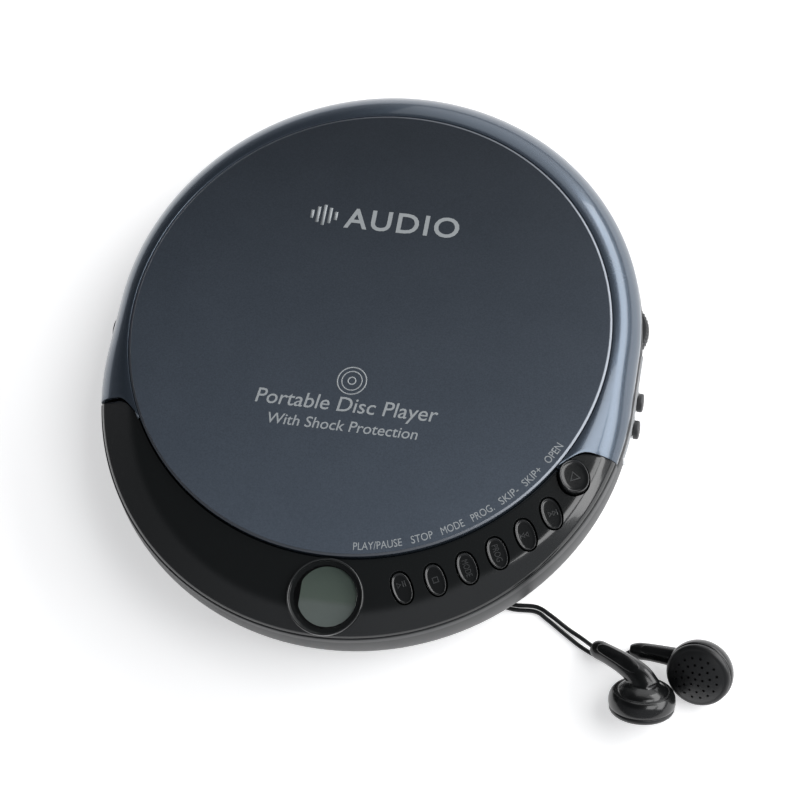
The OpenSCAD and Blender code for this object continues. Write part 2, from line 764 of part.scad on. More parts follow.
module bud_grille() {
  r = bud_d / 2;
  rotate_extrude($fn = 64) polygon([[0, 1.4], [r - 0.3, 1.4], [r - 0.2, 1.9], [r - 0.6, 2.8],
    [r - 1.6, 3.5], [r - 3.6, 4.2], [0, 4.7]]);
}

module front_bud_place() { translate([81, -77.3, 7.5]) rotate([0, 0, 3]) rotate([135, 0, 0]) children(); }
module rear_bud_place() { translate([94.1, -68.25, 7.05]) rotate([0, 0, -106]) rotate([0, 44, 0]) children(); }

// tapered stem from a cord's end into an earbud's housing
module stem(a, b, r0, r1, r2) {
  d = b - a;
  translate(a) rotate([0, acos(d[2] / norm(d)), atan2(d[1], d[0])])
    rotate_extrude($fn = 48) polygon([[0, 0], [r0, 0], [r1, 4.5], [r2, norm(d)], [0, norm(d)]]);
}

module bud_shell_front() {
  color("#1a1a1a") {
    front_bud_place() bud_shell();
    stem([67.6, -64.9, 3.9], [80.9, -75.2, 9.4], 1.8, 2.4, 2.6);
  }
}
module bud_grille_front() { color("#1a1a1a") front_bud_place() bud_grille(); }

module bud_shell_rear() {
  color("#1a1a1a") {
    rear_bud_place() bud_shell();
    stem([76.3, -63.8, 2.5], [94.2, -66.2, 5], 1.7, 2.3, 2.6);
  }
}
module bud_grille_rear() { color("#1a1a1a") rear_bud_place() bud_grille(); }

bottom_shell();
top_deck();
front_panel();
side_trim();
battery_contacts();
main_board();
board_parts();
headphone_jack();
power_jack();
display_ring();
display_lens();
lcd_panel();
key_board();
key_switches();
slide_switches();
mech_chassis();
chassis_dampers();
spindle_motor();
sled_motor();
guide_rods();
flat_cable();
case_screws();
rubber_feet();
hinge_pins();
lid_spring();
volume_pot();
lid_switch();
lid_rim();
lid_base();
lid_hook();
lid_plate();
lid_liner();
button_play();
button_stop();
button_mode();
button_prog();
button_skip_back();
button_skip_forward();
open_button();
latch_slide();
volume_wheel();
bass_knob();
hold_knob();
turntable();
hub_balls();
pickup_sled();
lens_holder();
lead_screw();
battery_door();
split_piece();
plug();
cord_coil();
lead_cord();
tail_cord();
front_strand();
rear_strand();
bud_shell_front();
bud_grille_front();
bud_shell_rear();
bud_grille_rear();
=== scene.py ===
"""Portable disc player with wired earphones: looks on the shared frame.

All shapes are written in millimetres in the case's own frame and scaled by MM. +Y runs from the display
to the lid hinge, +X to the volume wheel, +Z up, and the rubber feet stand on z = 0.
"""
import bmesh
import bpy
from math import asin, atan2, cos, exp, hypot, log, pi, radians, sin, sqrt, tan
from mathutils import Matrix, Vector


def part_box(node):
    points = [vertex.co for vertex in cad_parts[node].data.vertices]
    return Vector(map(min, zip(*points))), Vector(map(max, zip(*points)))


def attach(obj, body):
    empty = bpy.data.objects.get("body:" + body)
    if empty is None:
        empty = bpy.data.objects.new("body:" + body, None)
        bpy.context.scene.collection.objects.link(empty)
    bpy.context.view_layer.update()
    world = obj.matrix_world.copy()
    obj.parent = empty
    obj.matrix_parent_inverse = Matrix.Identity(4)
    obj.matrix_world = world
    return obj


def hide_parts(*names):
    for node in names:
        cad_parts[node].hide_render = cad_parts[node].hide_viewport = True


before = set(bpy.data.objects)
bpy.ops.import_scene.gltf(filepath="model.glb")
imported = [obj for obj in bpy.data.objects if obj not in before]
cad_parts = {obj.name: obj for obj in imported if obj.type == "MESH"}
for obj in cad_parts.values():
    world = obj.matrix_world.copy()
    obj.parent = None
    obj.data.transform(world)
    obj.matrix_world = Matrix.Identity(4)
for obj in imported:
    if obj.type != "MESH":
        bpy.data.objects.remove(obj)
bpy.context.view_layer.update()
MM = 0.001

# ---------- sizes in millimetres ----------

END_R = 69.5  # radius of the case's two round ends
END_Y = 7.5  # how far each end's centre lies from the middle
DISC_Y = 4.7  # disc axis, which is the centre of the lid plate too
PLATE_Z = 28.0  # upper face of the lid plate
PART_Z = 19.5  # parting plane between lower case and lid
SEAM = 27.0  # seam between lid and front panel, from the disc axis
GAP = 0.3  # air along that seam
PANEL_IN = 62.9  # inner edge of the front panel, from the disc axis
PANEL_Z = 27.0  # height of the panel at that edge
PANEL_TILT = radians(11.0)
KEY_W = 4.7
KEY_L = 7.85
KEY_TURN = 27.7  # long axes of the oval buttons, from the case's length, in degrees
OPEN_R = 67.35
OPEN_DIR = -30.3
DISPLAY_R = 72.35
DISPLAY_DIR = -88.0
HINGE_Y = 72.0
HINGE_Z = 16.5
ARM_X = 17.0  # each hinge arm, from the middle
ARM_W = 3.8
SIDE_Z = 15.0  # middle height of the controls on the right wall
WHEEL_AT = (61.4, 16.7)
FEET = [(x, y) for x in (-40, 40) for y in (-42, 42)]
SCREWS = [(33, 60), (-33, 60), (56, -36), (-56, -36), (22, -67), (-22, -67)]
# name, direction and distance from the disc axis
KEYS = [("play", -72.8, 70.8), ("stop", -66.0, 70.56), ("mode", -59.3, 70.32), ("prog", -52.6, 70.08),
        ("skip_back", -45.8, 69.84), ("skip_forward", -39.0, 69.6)]

# ---------- camera ----------

CAMERA_EL = radians(64.902)
CAMERA_AZ = radians(25.76)
CAMERA_ROLL = radians(-17.054)
CAMERA_DISTANCE = 0.55
CAMERA_RIGHT = 0.008365
CAMERA_DOWN = 0.018972
plate_low, plate_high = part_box("lid_plate")
aim = Vector(((plate_low.x + plate_high.x) / 2, (plate_low.y + plate_high.y) / 2, plate_high.z))
to_camera = Vector((cos(CAMERA_EL) * sin(CAMERA_AZ), -cos(CAMERA_EL) * cos(CAMERA_AZ), sin(CAMERA_EL)))
level_right = (-to_camera).cross(Vector((0, 0, 1))).normalized()
level_up = level_right.cross(-to_camera)
right = cos(CAMERA_ROLL) * level_right + sin(CAMERA_ROLL) * level_up
up = cos(CAMERA_ROLL) * level_up - sin(CAMERA_ROLL) * level_right
camera_data = bpy.data.cameras.new("camera")
camera_data.lens = 96.67
camera_data.sensor_width = 36
camera_data.clip_start = 0.02
camera = bpy.data.objects.new("camera", camera_data)
camera_place = Matrix((right, up, to_camera)).transposed().to_4x4()
camera_place.translation = aim + to_camera * CAMERA_DISTANCE + right * CAMERA_RIGHT - up * CAMERA_DOWN
camera.matrix_world = camera_place
bpy.context.scene.collection.objects.link(camera)
bpy.context.scene.camera = camera

# ---------- materials ----------


def new_material(name):
    """A material, with its nodes, its links, its shader and its object coordinates."""
    material = bpy.data.materials.new(name)
    material.use_nodes = True
    nodes, links = material.node_tree.nodes, material.node_tree.links
    coordinate = nodes.new("ShaderNodeTexCoord").outputs["Object"]
    return material, nodes, links, nodes["Principled BSDF"], coordinate


def noise(nodes, links, coordinate, scale, detail=2.0, stretch=None):
    """A noise texture on object coordinates, with its own stretch along X, Y and Z."""
    texture = nodes.new("ShaderNodeTexNoise")
    texture.inputs["Scale"].default_value = scale
    texture.inputs["Detail"].default_value = detail
    source = coordinate
    if stretch:
        mapping = nodes.new("ShaderNodeMapping")
        mapping.inputs["Scale"].default_value = stretch
        links.new(coordinate, mapping.inputs["Vector"])
        source = mapping.outputs["Vector"]
    links.new(source, texture.inputs["Vector"])
    return texture.outputs["Fac"]


def remap(nodes, links, value, low, high, start=0.0, stop=1.0, curve="LINEAR"):
    """A value that runs from start to stop, spread over low to high."""
    spread = nodes.new("ShaderNodeMapRange")
    spread.interpolation_type = curve
    spread.inputs["From Min"].default_value = start
    spread.inputs["From Max"].default_value = stop
    spread.inputs["To Min"].default_value = low
    spread.inputs["To Max"].default_value = high
    links.new(value, spread.inputs["Value"])
    return spread.outputs["Result"]


UNEVEN_GLOSS = 0.12


def finish_material(name, colour, rough, grain, grain_height, speckle, metallic=0.0, coat=0.0, stretch=None,
                    alpha=1.0):
    """Moulded or painted surface: fine grain, slight mottling and uneven gloss, all procedural."""
    material, nodes, links, shader, coordinate = new_material(name)
    fine = noise(nodes, links, coordinate, grain, 3.0, stretch)
    cloud = noise(nodes, links, coordinate, 90.0, 3.0)
    tone = nodes.new("ShaderNodeMix")
    tone.data_type = "RGBA"
    tone.inputs["A"].default_value = (*[c * (1 - speckle) for c in colour], 1)
    tone.inputs["B"].default_value = (*[min(1, c * (1 + speckle)) for c in colour], 1)
    links.new(fine, tone.inputs["Factor"])
    links.new(tone.outputs["Result"], shader.inputs["Base Color"])
    gloss = remap(nodes, links, cloud, max(0.02, rough * (1 - UNEVEN_GLOSS)),
                  min(1, rough * (1 + UNEVEN_GLOSS)))
    links.new(gloss, shader.inputs["Roughness"])
    bump = nodes.new("ShaderNodeBump")
    bump.inputs["Strength"].default_value = 0.35
    bump.inputs["Distance"].default_value = grain_height * MM
    links.new(fine, bump.inputs["Height"])
    links.new(bump.outputs["Normal"], shader.inputs["Normal"])
    shader.inputs["Metallic"].default_value = metallic
    shader.inputs["Coat Weight"].default_value = coat
    shader.inputs["Coat Roughness"].default_value = 0.05
    shader.inputs["Alpha"].default_value = alpha
    return material


# slot, colour, roughness, grain scale, grain height in mm, speckle,
# then metallic, coat, stretch of the grain and alpha where they aren't 0, 0, None and 1
FINISHES = {
    "case": ("case_plastic", (0.026, 0.0275, 0.029), 0.42, 4200, 0.02, 0.1),
    "door": ("case_plastic", (0.048, 0.0505, 0.053), 0.46, 4200, 0.02, 0.1),
    "deck": ("deck_plastic", (0.018, 0.019, 0.021), 0.5, 3600, 0.02, 0.14),
    "liner": ("deck_plastic", (0.013, 0.014, 0.015), 0.44, 3600, 0.015, 0.14),
    "panel": ("panel_plastic", (0.009, 0.0102, 0.0105), 0.17, 1500, 0.001, 0.08, 0.0, 0.5),
    "mask": ("panel_plastic", (0.006, 0.0062, 0.0065), 0.12, 2500, 0.001, 0.1, 0.0, 0.4),
    "key": ("key_plastic", (0.009, 0.0098, 0.0102), 0.17, 3000, 0.001, 0.1, 0.0, 0.4),
    "raised_mark": ("key_plastic", (0.045, 0.047, 0.049), 0.3, 5200, 0.003, 0.12),
    "rim": ("lid_rim", (0.083, 0.107, 0.14), 0.26, 9000, 0.002, 0.14, 0.75, 0.6),
    "cut_edge": ("lid_rim", (0.2, 0.215, 0.24), 0.4, 5000, 0.001, 0.05, 1.0),
    "print": ("lid_inlay", (0.36, 0.385, 0.4), 0.45, 5000, 0.002, 0.06),
    "trim": ("trim", (0.86, 0.87, 0.88), 0.24, 3000, 0.001, 0.03, 0.55),
    "knob": ("knob_plastic", (0.03, 0.031, 0.033), 0.4, 4200, 0.01, 0.12),
    "clear": ("window", (0.004, 0.0042, 0.0042), 0.04, 1200, 0.0005, 0.02, 0.0, 0.0, None, 0.3),
    "steel": ("steel", (0.55, 0.56, 0.58), 0.26, 2500, 0.003, 0.08, 1.0, 0.0, (1, 0.08, 1)),
    "contact": ("steel", (0.75, 0.56, 0.26), 0.22, 2500, 0.002, 0.06, 1.0),
    "cast": ("pickup_metal", (0.3, 0.31, 0.33), 0.45, 2200, 0.02, 0.12, 0.9),
    "inner": ("inner_plastic", (0.02, 0.021, 0.023), 0.4, 3000, 0.01, 0.12),
    "board": ("circuit_board", (0.012, 0.075, 0.03), 0.3, 1800, 0.006, 0.3, 0.0, 0.4),
    "film": ("flex", (0.36, 0.22, 0.06), 0.3, 1500, 0.004, 0.12, 0.0, 0.3),
    "rubber": ("rubber", (0.014, 0.0142, 0.015), 0.62, 2600, 0.015, 0.15),
    "cord": ("cord", (0.0085, 0.009, 0.0095), 0.33, 2800, 0.006, 0.12),
    "bud": ("bud_plastic", (0.005, 0.0054, 0.0056), 0.22, 3200, 0.003, 0.12, 0.0, 0.2),
    "grille": ("bud_plastic", (0.0085, 0.009, 0.0095), 0.36, 3600, 0.006, 0.14),
}
PAINT = {key: finish_material(key + "_finish", *look) for key, (slot, *look) in FINISHES.items()}
SLOTS = {key: look[0] for key, look in FINISHES.items()}


def lid_paint_with_painted_sheen():
    """Matt metallic paint, a little paler towards the display than towards the hinge: a painted sheen and
    shade for how the light falls across the plate.
    """
    material = finish_material("plate_painted_sheen_finish", (0.046, 0.0575, 0.0745), 0.5, 2700, 0.02, 0.3, 0.45)
    nodes, links = material.node_tree.nodes, material.node_tree.links
    shader = nodes["Principled BSDF"]
    split = nodes.new("ShaderNodeSeparateXYZ")
    links.new(nodes["Texture Coordinate"].outputs["Object"], split.inputs["Vector"])
    # painted sheen and shade: the colour is scaled from 2.0 on the display side down to 0.64 on the hinge
    # side
    painted_sheen_along_y = remap(nodes, links, split.outputs["Y"], 2.0, 0.64, -0.055, 0.062)
    shade = nodes.new("ShaderNodeVectorMath")
    shade.operation = "SCALE"
    links.new(shader.inputs["Base Color"].links[0].from_socket, shade.inputs[0])
    links.new(painted_sheen_along_y, shade.inputs["Scale"])
    links.new(shade.outputs["Vector"], shader.inputs["Base Color"])
    return material


def liquid_crystal():
    """Grey-green display glass, paler at its lower half."""
    material, nodes, links, shader, coordinate = new_material("liquid_crystal_finish")
    split = nodes.new("ShaderNodeSeparateXYZ")
    links.new(coordinate, split.inputs["Vector"])
    height = remap(nodes, links, split.outputs["Y"], 0.0, 1.0, -0.0775, -0.0595)
    ramp = nodes.new("ShaderNodeValToRGB")
    ramp.color_ramp.elements[0].color = (0.64, 0.75, 0.71, 1)
    ramp.color_ramp.elements[1].color = (0.37, 0.49, 0.415, 1)
    middle = ramp.color_ramp.elements.new(0.46)
    middle.color = (0.6, 0.7, 0.655, 1)
    upper = ramp.color_ramp.elements.new(0.54)
    upper.color = (0.44, 0.56, 0.475, 1)
    links.new(height, ramp.inputs["Fac"])
    grain = noise(nodes, links, coordinate, 5200.0, 2.0)
    mix = nodes.new("ShaderNodeMix")
    mix.data_type = "RGBA"
    mix.blend_type = "MULTIPLY"
    mix.inputs["Factor"].default_value = 0.25
    links.new(ramp.outputs["Color"], mix.inputs["A"])
    links.new(grain, mix.inputs["B"])
    links.new(mix.outputs["Result"], shader.inputs["Base Color"])
    shader.inputs["Roughness"].default_value = 0.28
    return material


PAINT["crystal"] = liquid_crystal()
SLOTS["crystal"] = "display_glass"
# the lid plate's colour carries a painted sheen, paler towards the display, and painted shade towards the
# hinge
PAINT["plate"] = lid_paint_with_painted_sheen()
SLOTS["plate"] = "lid_inlay"

# ---------- shape helpers ----------


def moved(x, y, z=0.0):
    return Matrix.Translation((x, y, z))


def turned(degrees, axis):
    return Matrix.Rotation(radians(degrees), 4, axis)


def linked(name, data):
    """A new object in the scene."""
    item = bpy.data.objects.new(name, data)
    bpy.context.scene.collection.objects.link(item)
    return item


def worked_out(item):
    """The mesh of an object with its modifiers or lettering worked in. The object goes."""
    bpy.context.view_layer.update()
    mesh = bpy.data.meshes.new_from_object(item.evaluated_get(bpy.context.evaluated_depsgraph_get()))
    bpy.data.objects.remove(item)
    return mesh


def add(name, mesh, body, paint, sharp=35.0, node=None):
    """Turns a mesh in millimetres into a piece that rides on a body and may take a CAD node's place."""
    mesh.name = name
    mesh.transform(Matrix.Scale(MM, 4))
    mesh.validate()
    piece = linked(name, mesh)
    mesh.materials.append(PAINT[paint])
    mesh.shade_smooth()
    if sharp:
        mesh.set_sharp_from_angle(angle=radians(sharp))
    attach(piece, body)
    if node:
        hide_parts(node)
    return piece


def to_mesh(points, faces, place=None):
    """A mesh from points and faces, with doubled points joined and normals outwards."""
    mesh = bpy.data.meshes.new("part")
    mesh.from_pydata([tuple(p) for p in points], [], faces)
    if place is not None:
        mesh.transform(place)
    tidy = bmesh.new()
    tidy.from_mesh(mesh)
    bmesh.ops.remove_doubles(tidy, verts=tidy.verts, dist=1e-5)
    bmesh.ops.recalc_face_normals(tidy, faces=tidy.faces)
    tidy.to_mesh(mesh)
    tidy.free()
    return mesh


def loft(rings, closed=False, place=None):
    """Skin over rings that all have the same number of points. closed joins the last ring to the first."""
    count = len(rings[0])
    points = [p for ring in rings for p in ring]
    faces = []
    steps = len(rings) if closed else len(rings) - 1
    for i in range(steps):
        a = i * count
        b = ((i + 1) % len(rings)) * count
        for k in range(count):
            n = (k + 1) % count
            faces.append((a + k, a + n, b + n, b + k))
    if not closed:
        faces.append(tuple(reversed(range(count))))
        faces.append(tuple(range((len(rings) - 1) * count, len(rings) * count)))
    return to_mesh(points, faces, place)


def revolve(profile, place=None, count=96, closed=False):
    """Solid of revolution about Z from (radius, z) pairs. closed makes a ring."""
    rings = [[(r * cos(2 * pi * k / count), r * sin(2 * pi * k / count), z) for k in range(count)]
             for r, z in profile]
    return loft(rings, closed=closed, place=place)


def oval_ring(w, l, z, count=64):
    """Slightly squared ellipse, long along Y."""
    ring = []
    for k in range(count):
        a = 2 * pi * (k + 0.5) / count
        x = abs(cos(a)) ** 0.9
        y = abs(sin(a)) ** 0.9
        ring.append((w / 2 * (x if cos(a) > 0 else -x), l / 2 * (y if sin(a) > 0 else -y), z))
    return ring


def oval_loft(w, l, profile, place=None):
    """Oval solid whose outline is drawn in by the first value of each (inset, z) pair."""
    return loft([oval_ring(w - 2 * i, l - 2 * i, z) for i, z in profile], place=place)


def block(low, high, bevel=0.0, place=None):
    """A block between two corners with rounded edges."""
    mesh = bpy.data.meshes.new("part")
    shape = bmesh.new()
    bmesh.ops.create_cube(shape, size=1.0)
    for v in shape.verts:
        v.co = Vector([low[i] + (v.co[i] + 0.5) * (high[i] - low[i]) for i in range(3)])
    if bevel:
        bmesh.ops.bevel(shape, geom=shape.edges[:], offset=bevel, segments=2, affect="EDGES", profile=0.5)
    shape.to_mesh(mesh)
    shape.free()
    if place is not None:
        mesh.transform(place)
    return mesh


def joined(meshes):
    """Several meshes as one."""
    shape = bmesh.new()
    for mesh in meshes:
        shape.from_mesh(mesh)
    mesh = bpy.data.meshes.new("part")
    shape.to_mesh(mesh)
    shape.free()
    for part in meshes:
        bpy.data.meshes.remove(part)
    return mesh


def combined(mesh, tools, operation="DIFFERENCE"):
    """Cuts one mesh with others, or joins them, and gives back one clean mesh."""
    base = linked("base", mesh)
    tool = linked("tool", joined(tools))
    step = base.modifiers.new("step", "BOOLEAN")
    step.object = tool
    step.operation = operation
    step.solver = "EXACT"
    step.use_self = True
    result = worked_out(base)
    bpy.data.objects.remove(tool)
    return result


def modified(mesh, kind, **values):
    """One modifier worked into the mesh."""
    part = linked("part", mesh)
    step = part.modifiers.new("step", kind)
    for key, value in values.items():
        setattr(step, key, value)
    return worked_out(part)


def on_panel(r, direction, facing=0.0):
    """A place on the sloping front panel, with its Y along the case or turned from it by facing."""
    turn = turned(direction, "Z")
    slope = moved(r, 0, PANEL_Z - (r - PANEL_IN) * tan(PANEL_TILT))
    return (moved(0, DISC_Y) @ turn @ slope @ Matrix.Rotation(PANEL_TILT, 4, "Y")
            @ turned(facing - direction, "Z"))


ON_AXIS = moved(0, DISC_Y)


def spline_points(route, steps):
    """Smooth line through the given points."""
    p = [Vector(q) for q in route]
    p = [2 * p[0] - p[1]] + p + [2 * p[-1] - p[-2]]
    out = []
    for i in range(1, len(p) - 2):
        a, b, c, d = p[i - 1], p[i], p[i + 1], p[i + 2]
        for k in range(steps):
            t = k / steps
            out.append(0.5 * (2 * b + (c - a) * t + (2 * a - 5 * b + 4 * c - d) * t * t
                              + (3 * b - a - 3 * c + d) * t ** 3))
    out.append(p[-2])
    return out


def path_length(points):
    return sum((b - a).length for a, b in zip(points, points[1:]))


def cord_curve(name, points, diameter, body, paint):
    """An open round cord along the points, in millimetres."""
    data = bpy.data.curves.new(name, "CURVE")
    data.dimensions = "3D"
    data.bevel_depth = diameter / 2 * MM
    data.bevel_resolution = 4
    data.use_fill_caps = True
    line = data.splines.new("POLY")
    line.points.add(len(points) - 1)
    for slot, p in zip(line.points, points):
        slot.co = (*(p * MM), 1)
    piece = linked(name, data)
    data.materials.append(PAINT[paint])
    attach(piece, body)
    return piece


# ---------- cords ----------

STRAND_D = 1.1
LEAD_D = 1.6
FRONT_ROUTE = [(16.1, -42.9, 0.6), (24, -46.8, 0.6), (34, -52, 0.6), (44, -55.3, 0.6), (51, -55.2, 0.6),
               (55, -57, 0.9), (60, -60, 0.8), (63.6, -62, 1.3), (67.7, -65, 3.9)]
REAR_ROUTE = [(15.6, -43.9, 0.6), (23.5, -47.9, 0.6), (33.5, -53.2, 0.6), (44, -56.5, 0.6),
              (51, -56.5, 0.6), (54.4, -58.2, 0.6), (59.4, -61.4, 0.6), (64, -64.2, 0.6), (69, -66.2, 0.6),
              (72.9, -66, 0.8), (75, -64.8, 1.5), (76.6, -63.9, 2.5)]
TAIL_ROUTE = [(4, 9.1, 0.8), (-5, 13.5, 0.8), (-14, 18.5, 0.8), (-20, 25.5, 0.8), (-23, 35, 0.8),
              (-23.5, 45, 0.8), (-23, 55, 0.8), (-22, 65, 0.8), (-23.5, 71.8, 0.8), (-28.5, 75.2, 1.1),
              (-34, 72.9, 2), (-38.2, 69.2, 3)]
COIL_AT = Vector((0, -12.3, 0.8))
COIL_R = 21.0
COIL_IN = 6.8
COIL_PITCH = 3.4


def wound_lead():
    """The lead under the case: a straight start, a flat coil wound double, and the tail to the plug."""
    turns = 2 * pi * (COIL_R - COIL_IN) / COIL_PITCH
    start = radians(-116) - turns
    points = [Vector((9.2, -40.2, 0.8)) * (1 - k / 9) + Vector((-9.2, -31.2, 0.8)) * (k / 9)
              for k in range(9)]
    steps = 260

    def at(angle, r):
        return COIL_AT + Vector((r * cos(angle), r * sin(angle), 0))

    for k in range(steps, -1, -1):
        turn = turns * k / steps
        points.append(at(start + turn, COIL_IN + COIL_PITCH * turn / (2 * pi)))
    half = COIL_IN / 2
    for centre, first, way in ((start, 1, -1), (start + pi, 0, 1)):
        for k in range(first, 12):
            a = start + way * pi * k / 12
            points.append(at(centre, half) + Vector((half * cos(a), half * sin(a), 0)))
    for k in range(steps + 1):
        turn = turns * k / steps
        points.append(at(start + pi + turn, COIL_IN + COIL_PITCH * turn / (2 * pi)))
    points += spline_points([points[-1]] + TAIL_ROUTE, 6)[1:]
    return points


front_line = spline_points(FRONT_ROUTE, 6)
rear_line = spline_points(REAR_ROUTE, 6)
lead_line = wound_lead()
front_strand = cord_curve("front_strand_cord", front_line, STRAND_D, "player", "cord")
rear_strand = cord_curve("rear_strand_cord", rear_line, STRAND_D, "player", "cord")
lead = cord_curve("wound_lead_cord", lead_line, LEAD_D, "player", "cord")
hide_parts("front_strand")
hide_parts("rear_strand")
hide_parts("lead_cord", "cord_coil", "tail_cord")

# ---------- plan of case, lid and front panel ----------


def left_trim(angle):
    """How far the left side is drawn in, by direction from the disc axis."""
    return 0.85 * max(0.0, -cos(angle)) ** 1.5


def case_ring(r, z, count=72):
    """The case's outline at one distance from its middle line, with the left trim fading in above 13.5 mm."""
    lift = max(0.0, min(1.0, (z - 13.5) / 5))
    ring = []
    for side in (1, -1):
        for k in range(count + 1):
            a = pi * k / count + (0 if side > 0 else pi)
            x = r * cos(a)
            y = r * sin(a) + side * END_Y - DISC_Y
            kept = 1 - left_trim(atan2(y, x)) * lift * r / END_R / hypot(x, y)
            ring.append((x * kept, y * kept + DISC_Y, z))
    return ring


def reach(angle, inset):
    """Distance from the disc axis to the case's outline, drawn in by inset."""
    r = END_R - inset
    ux, uy = cos(angle), sin(angle)
    for centre in (END_Y - DISC_Y, -END_Y - DISC_Y):
        along = centre * uy
        d = along + sqrt(max(0, along * along - centre * centre + r * r))
        y = d * uy
        if (centre > 0 and y >= centre) or (centre < 0 and y <= centre):
            return d - left_trim(angle)
    return r / abs(ux) - left_trim(angle)


def seam_angle(rho, extra):
    """How far below the side the seam lies at this distance from the disc axis."""
    tail = radians(5.5) * max(0.0, 1 - (rho - 62.6) / 4.5) ** 2.5
    return asin((SEAM + extra) / rho) + tail


def sweep_angles(rho_at, front, count, extra):
    """Angles of one curve between the two seam ends, behind or in front of the seam."""
    left = radians(200)
    right_end = radians(-20)
    for _ in range(6):
        right_end = -seam_angle(rho_at(right_end), extra)
        left = pi + seam_angle(rho_at(left), extra)
    if front:
        right_end += 2 * pi
        start, stop = left, right_end
    else:
        start, stop = right_end, left
    return [start + (stop - start) * k / count for k in range(count + 1)]


def plan_sheet(curves, front, count, extra=0.0):
    """Open sheet over curves, each given as (rho(angle), z(angle, rho))."""
    points = []
    for rho_at, z_at in curves:
        for a in sweep_angles(rho_at, front, count, extra):
            rho = rho_at(a)
            points.append((rho * cos(a), rho * sin(a) + DISC_Y, z_at(a, rho)))
    faces = []
    n = count + 1
    for i in range(len(curves) - 1):
        for k in range(count):
            faces.append((i * n + k, i * n + k + 1, (i + 1) * n + k + 1, (i + 1) * n + k))
    return points, faces


def plan_block(curves, floor, front, count, extra=0.0):
    """Closed solid between a sheet of curves and a flat floor below it."""
    points, faces = plan_sheet(curves, front, count, extra)
    total = len(points)
    n = count + 1
    rows = len(curves)
    points += [(x, y, floor) for x, y, z in points]
    faces += [tuple(total + i for i in reversed(f)) for f in faces]
    for i in (0, rows - 1):
        for k in range(count):
            a, b = i * n + k, i * n + k + 1
            faces.append((a, b, b + total, a + total))
    for k in (0, count):
        for i in range(rows - 1):
            a, b = i * n + k, (i + 1) * n + k
            faces.append((a, b, b + total, a + total))
    return to_mesh(points, faces)


# ---------- lid ----------

RIM_IN = 62.62
RIM_TOP = 27.75
RIM_FOOT = 21.0


def rim_curves():
    """Curves of the lid's outer skin from the plate's edge out and down to the lip."""
    curves = [(lambda a: RIM_IN, lambda a, r: RIM_TOP - 0.16),
              (lambda a: RIM_IN + 0.16, lambda a, r: RIM_TOP)]
    for t in [0.06, 0.14, 0.22, 0.30, 0.38, 0.46, 0.54, 0.62, 0.69, 0.76, 0.82, 0.87, 0.915, 0.95, 0.977,
              0.993, 1.0]:
        def rho_at(a, t=t):
            inner = RIM_IN + 0.16
            return inner + (reach(a, 0.2) - inner) * t

        def z_at(a, r, t=t):
            return RIM_FOOT + (RIM_TOP - RIM_FOOT) * (1 - t ** 1.75) ** 0.68
        curves.append((rho_at, z_at))
    curves.append((lambda a: reach(a, 0.2), lambda a, r: 20.1))
    curves.append((lambda a: reach(a, 0.38), lambda a, r: 19.8))
    return curves


def lid_rim():
    """The lid's outer frame: its skin made 1.5 mm thick, with softened edges."""
    points, faces = plan_sheet(rim_curves(), False, 220)
    mesh = to_mesh(points, faces)
    mesh = modified(mesh, "SOLIDIFY", thickness=1.5, offset=-1, use_even_offset=True,
                    use_quality_normals=True)
    mesh = modified(mesh, "BEVEL", width=0.16, segments=2, limit_method="ANGLE",
                    angle_limit=radians(55))
    add("lid_outer_rim", mesh, "lid", "rim", 40, "lid_rim")


lid_rim()

arms = []
for side in (-1, 1):
    x = side * ARM_X - ARM_W / 2
    barrel = revolve([
        (1.06, 0), (2.25, 0), (2.4, 0.15), (2.4, ARM_W - 0.15), (2.25, ARM_W), (1.06, ARM_W)],
        moved(x, HINGE_Y, HINGE_Z) @ turned(90, "Y"), 48, True)
    web = block((x, 69.7, 17.6), (x + ARM_W, 73.2, 22.6), 0.25)
    arms += [barrel, web]
add("lid_hinge_arms", joined(arms), "lid", "rim")
add("lid_switch_pin", block((-65.3, -20.9, 20.2), (-63.3, -18.9, 23.7), 0.2), "lid", "rim")

add("lid_round_base", revolve([
    (0, 26.05), (61.9, 26.05), (61.9, 24.75), (62.05, 24.6), (62.4, 24.6), (62.55, 24.75), (62.55, 27.6),
    (62.52, 27.7), (62.3, 27.3), (62.0, 26.95), (0, 26.95)], ON_AXIS, 192), "lid", "rim", node="lid_base")

latch_place = ON_AXIS @ turned(OPEN_DIR, "Z")
add("lid_latch_hook", joined([
    block((61.95, -2, 20.2), (62.9, 2, 24.7), 0.12, latch_place),
    block((61.7, -1.9, 20.2), (62.85, 1.9, 21.0), 0.12, latch_place)]), "lid", "rim",
    node="lid_hook")

add("lid_plate_sheet", revolve([
    (0, 26.9), (61.8, 26.9), (61.9, 27.2), (61.92, 27.93), (61.85, 27.99), (61.7, PLATE_Z), (40, PLATE_Z),
    (20, PLATE_Z), (0, PLATE_Z)], ON_AXIS, 256), "lid", "plate", node="lid_plate")
add("lid_plate_edge", revolve([
    (61.8, 26.95), (62.5, 26.95), (62.52, 27.5), (62.46, 27.66), (62.05, 27.93), (61.92, 27.96),
    (61.8, 27.9)], ON_AXIS, 256, True), "lid", "cut_edge")

liner_profile = [(0, 25.6), (8.8, 25.6), (9.0, 25.5), (9.0, 25.1), (9.2, 25.0)]
for groove in (14.0, 22.0, 30.0, 38.0, 46.0, 54.0):
    liner_profile += [(groove, 25.0), (groove + 0.15, 25.12), (groove + 0.65, 25.12), (groove + 0.8, 25.0)]
liner_profile += [(60.2, 25.0), (60.5, 25.2), (60.5, 26.0), (0, 26.0)]
add("lid_inner_liner", revolve(liner_profile, ON_AXIS, 192), "lid", "liner",
    node="lid_liner")

# ---------- printing on the lid ----------

PRINT_DEPTH = 0.03


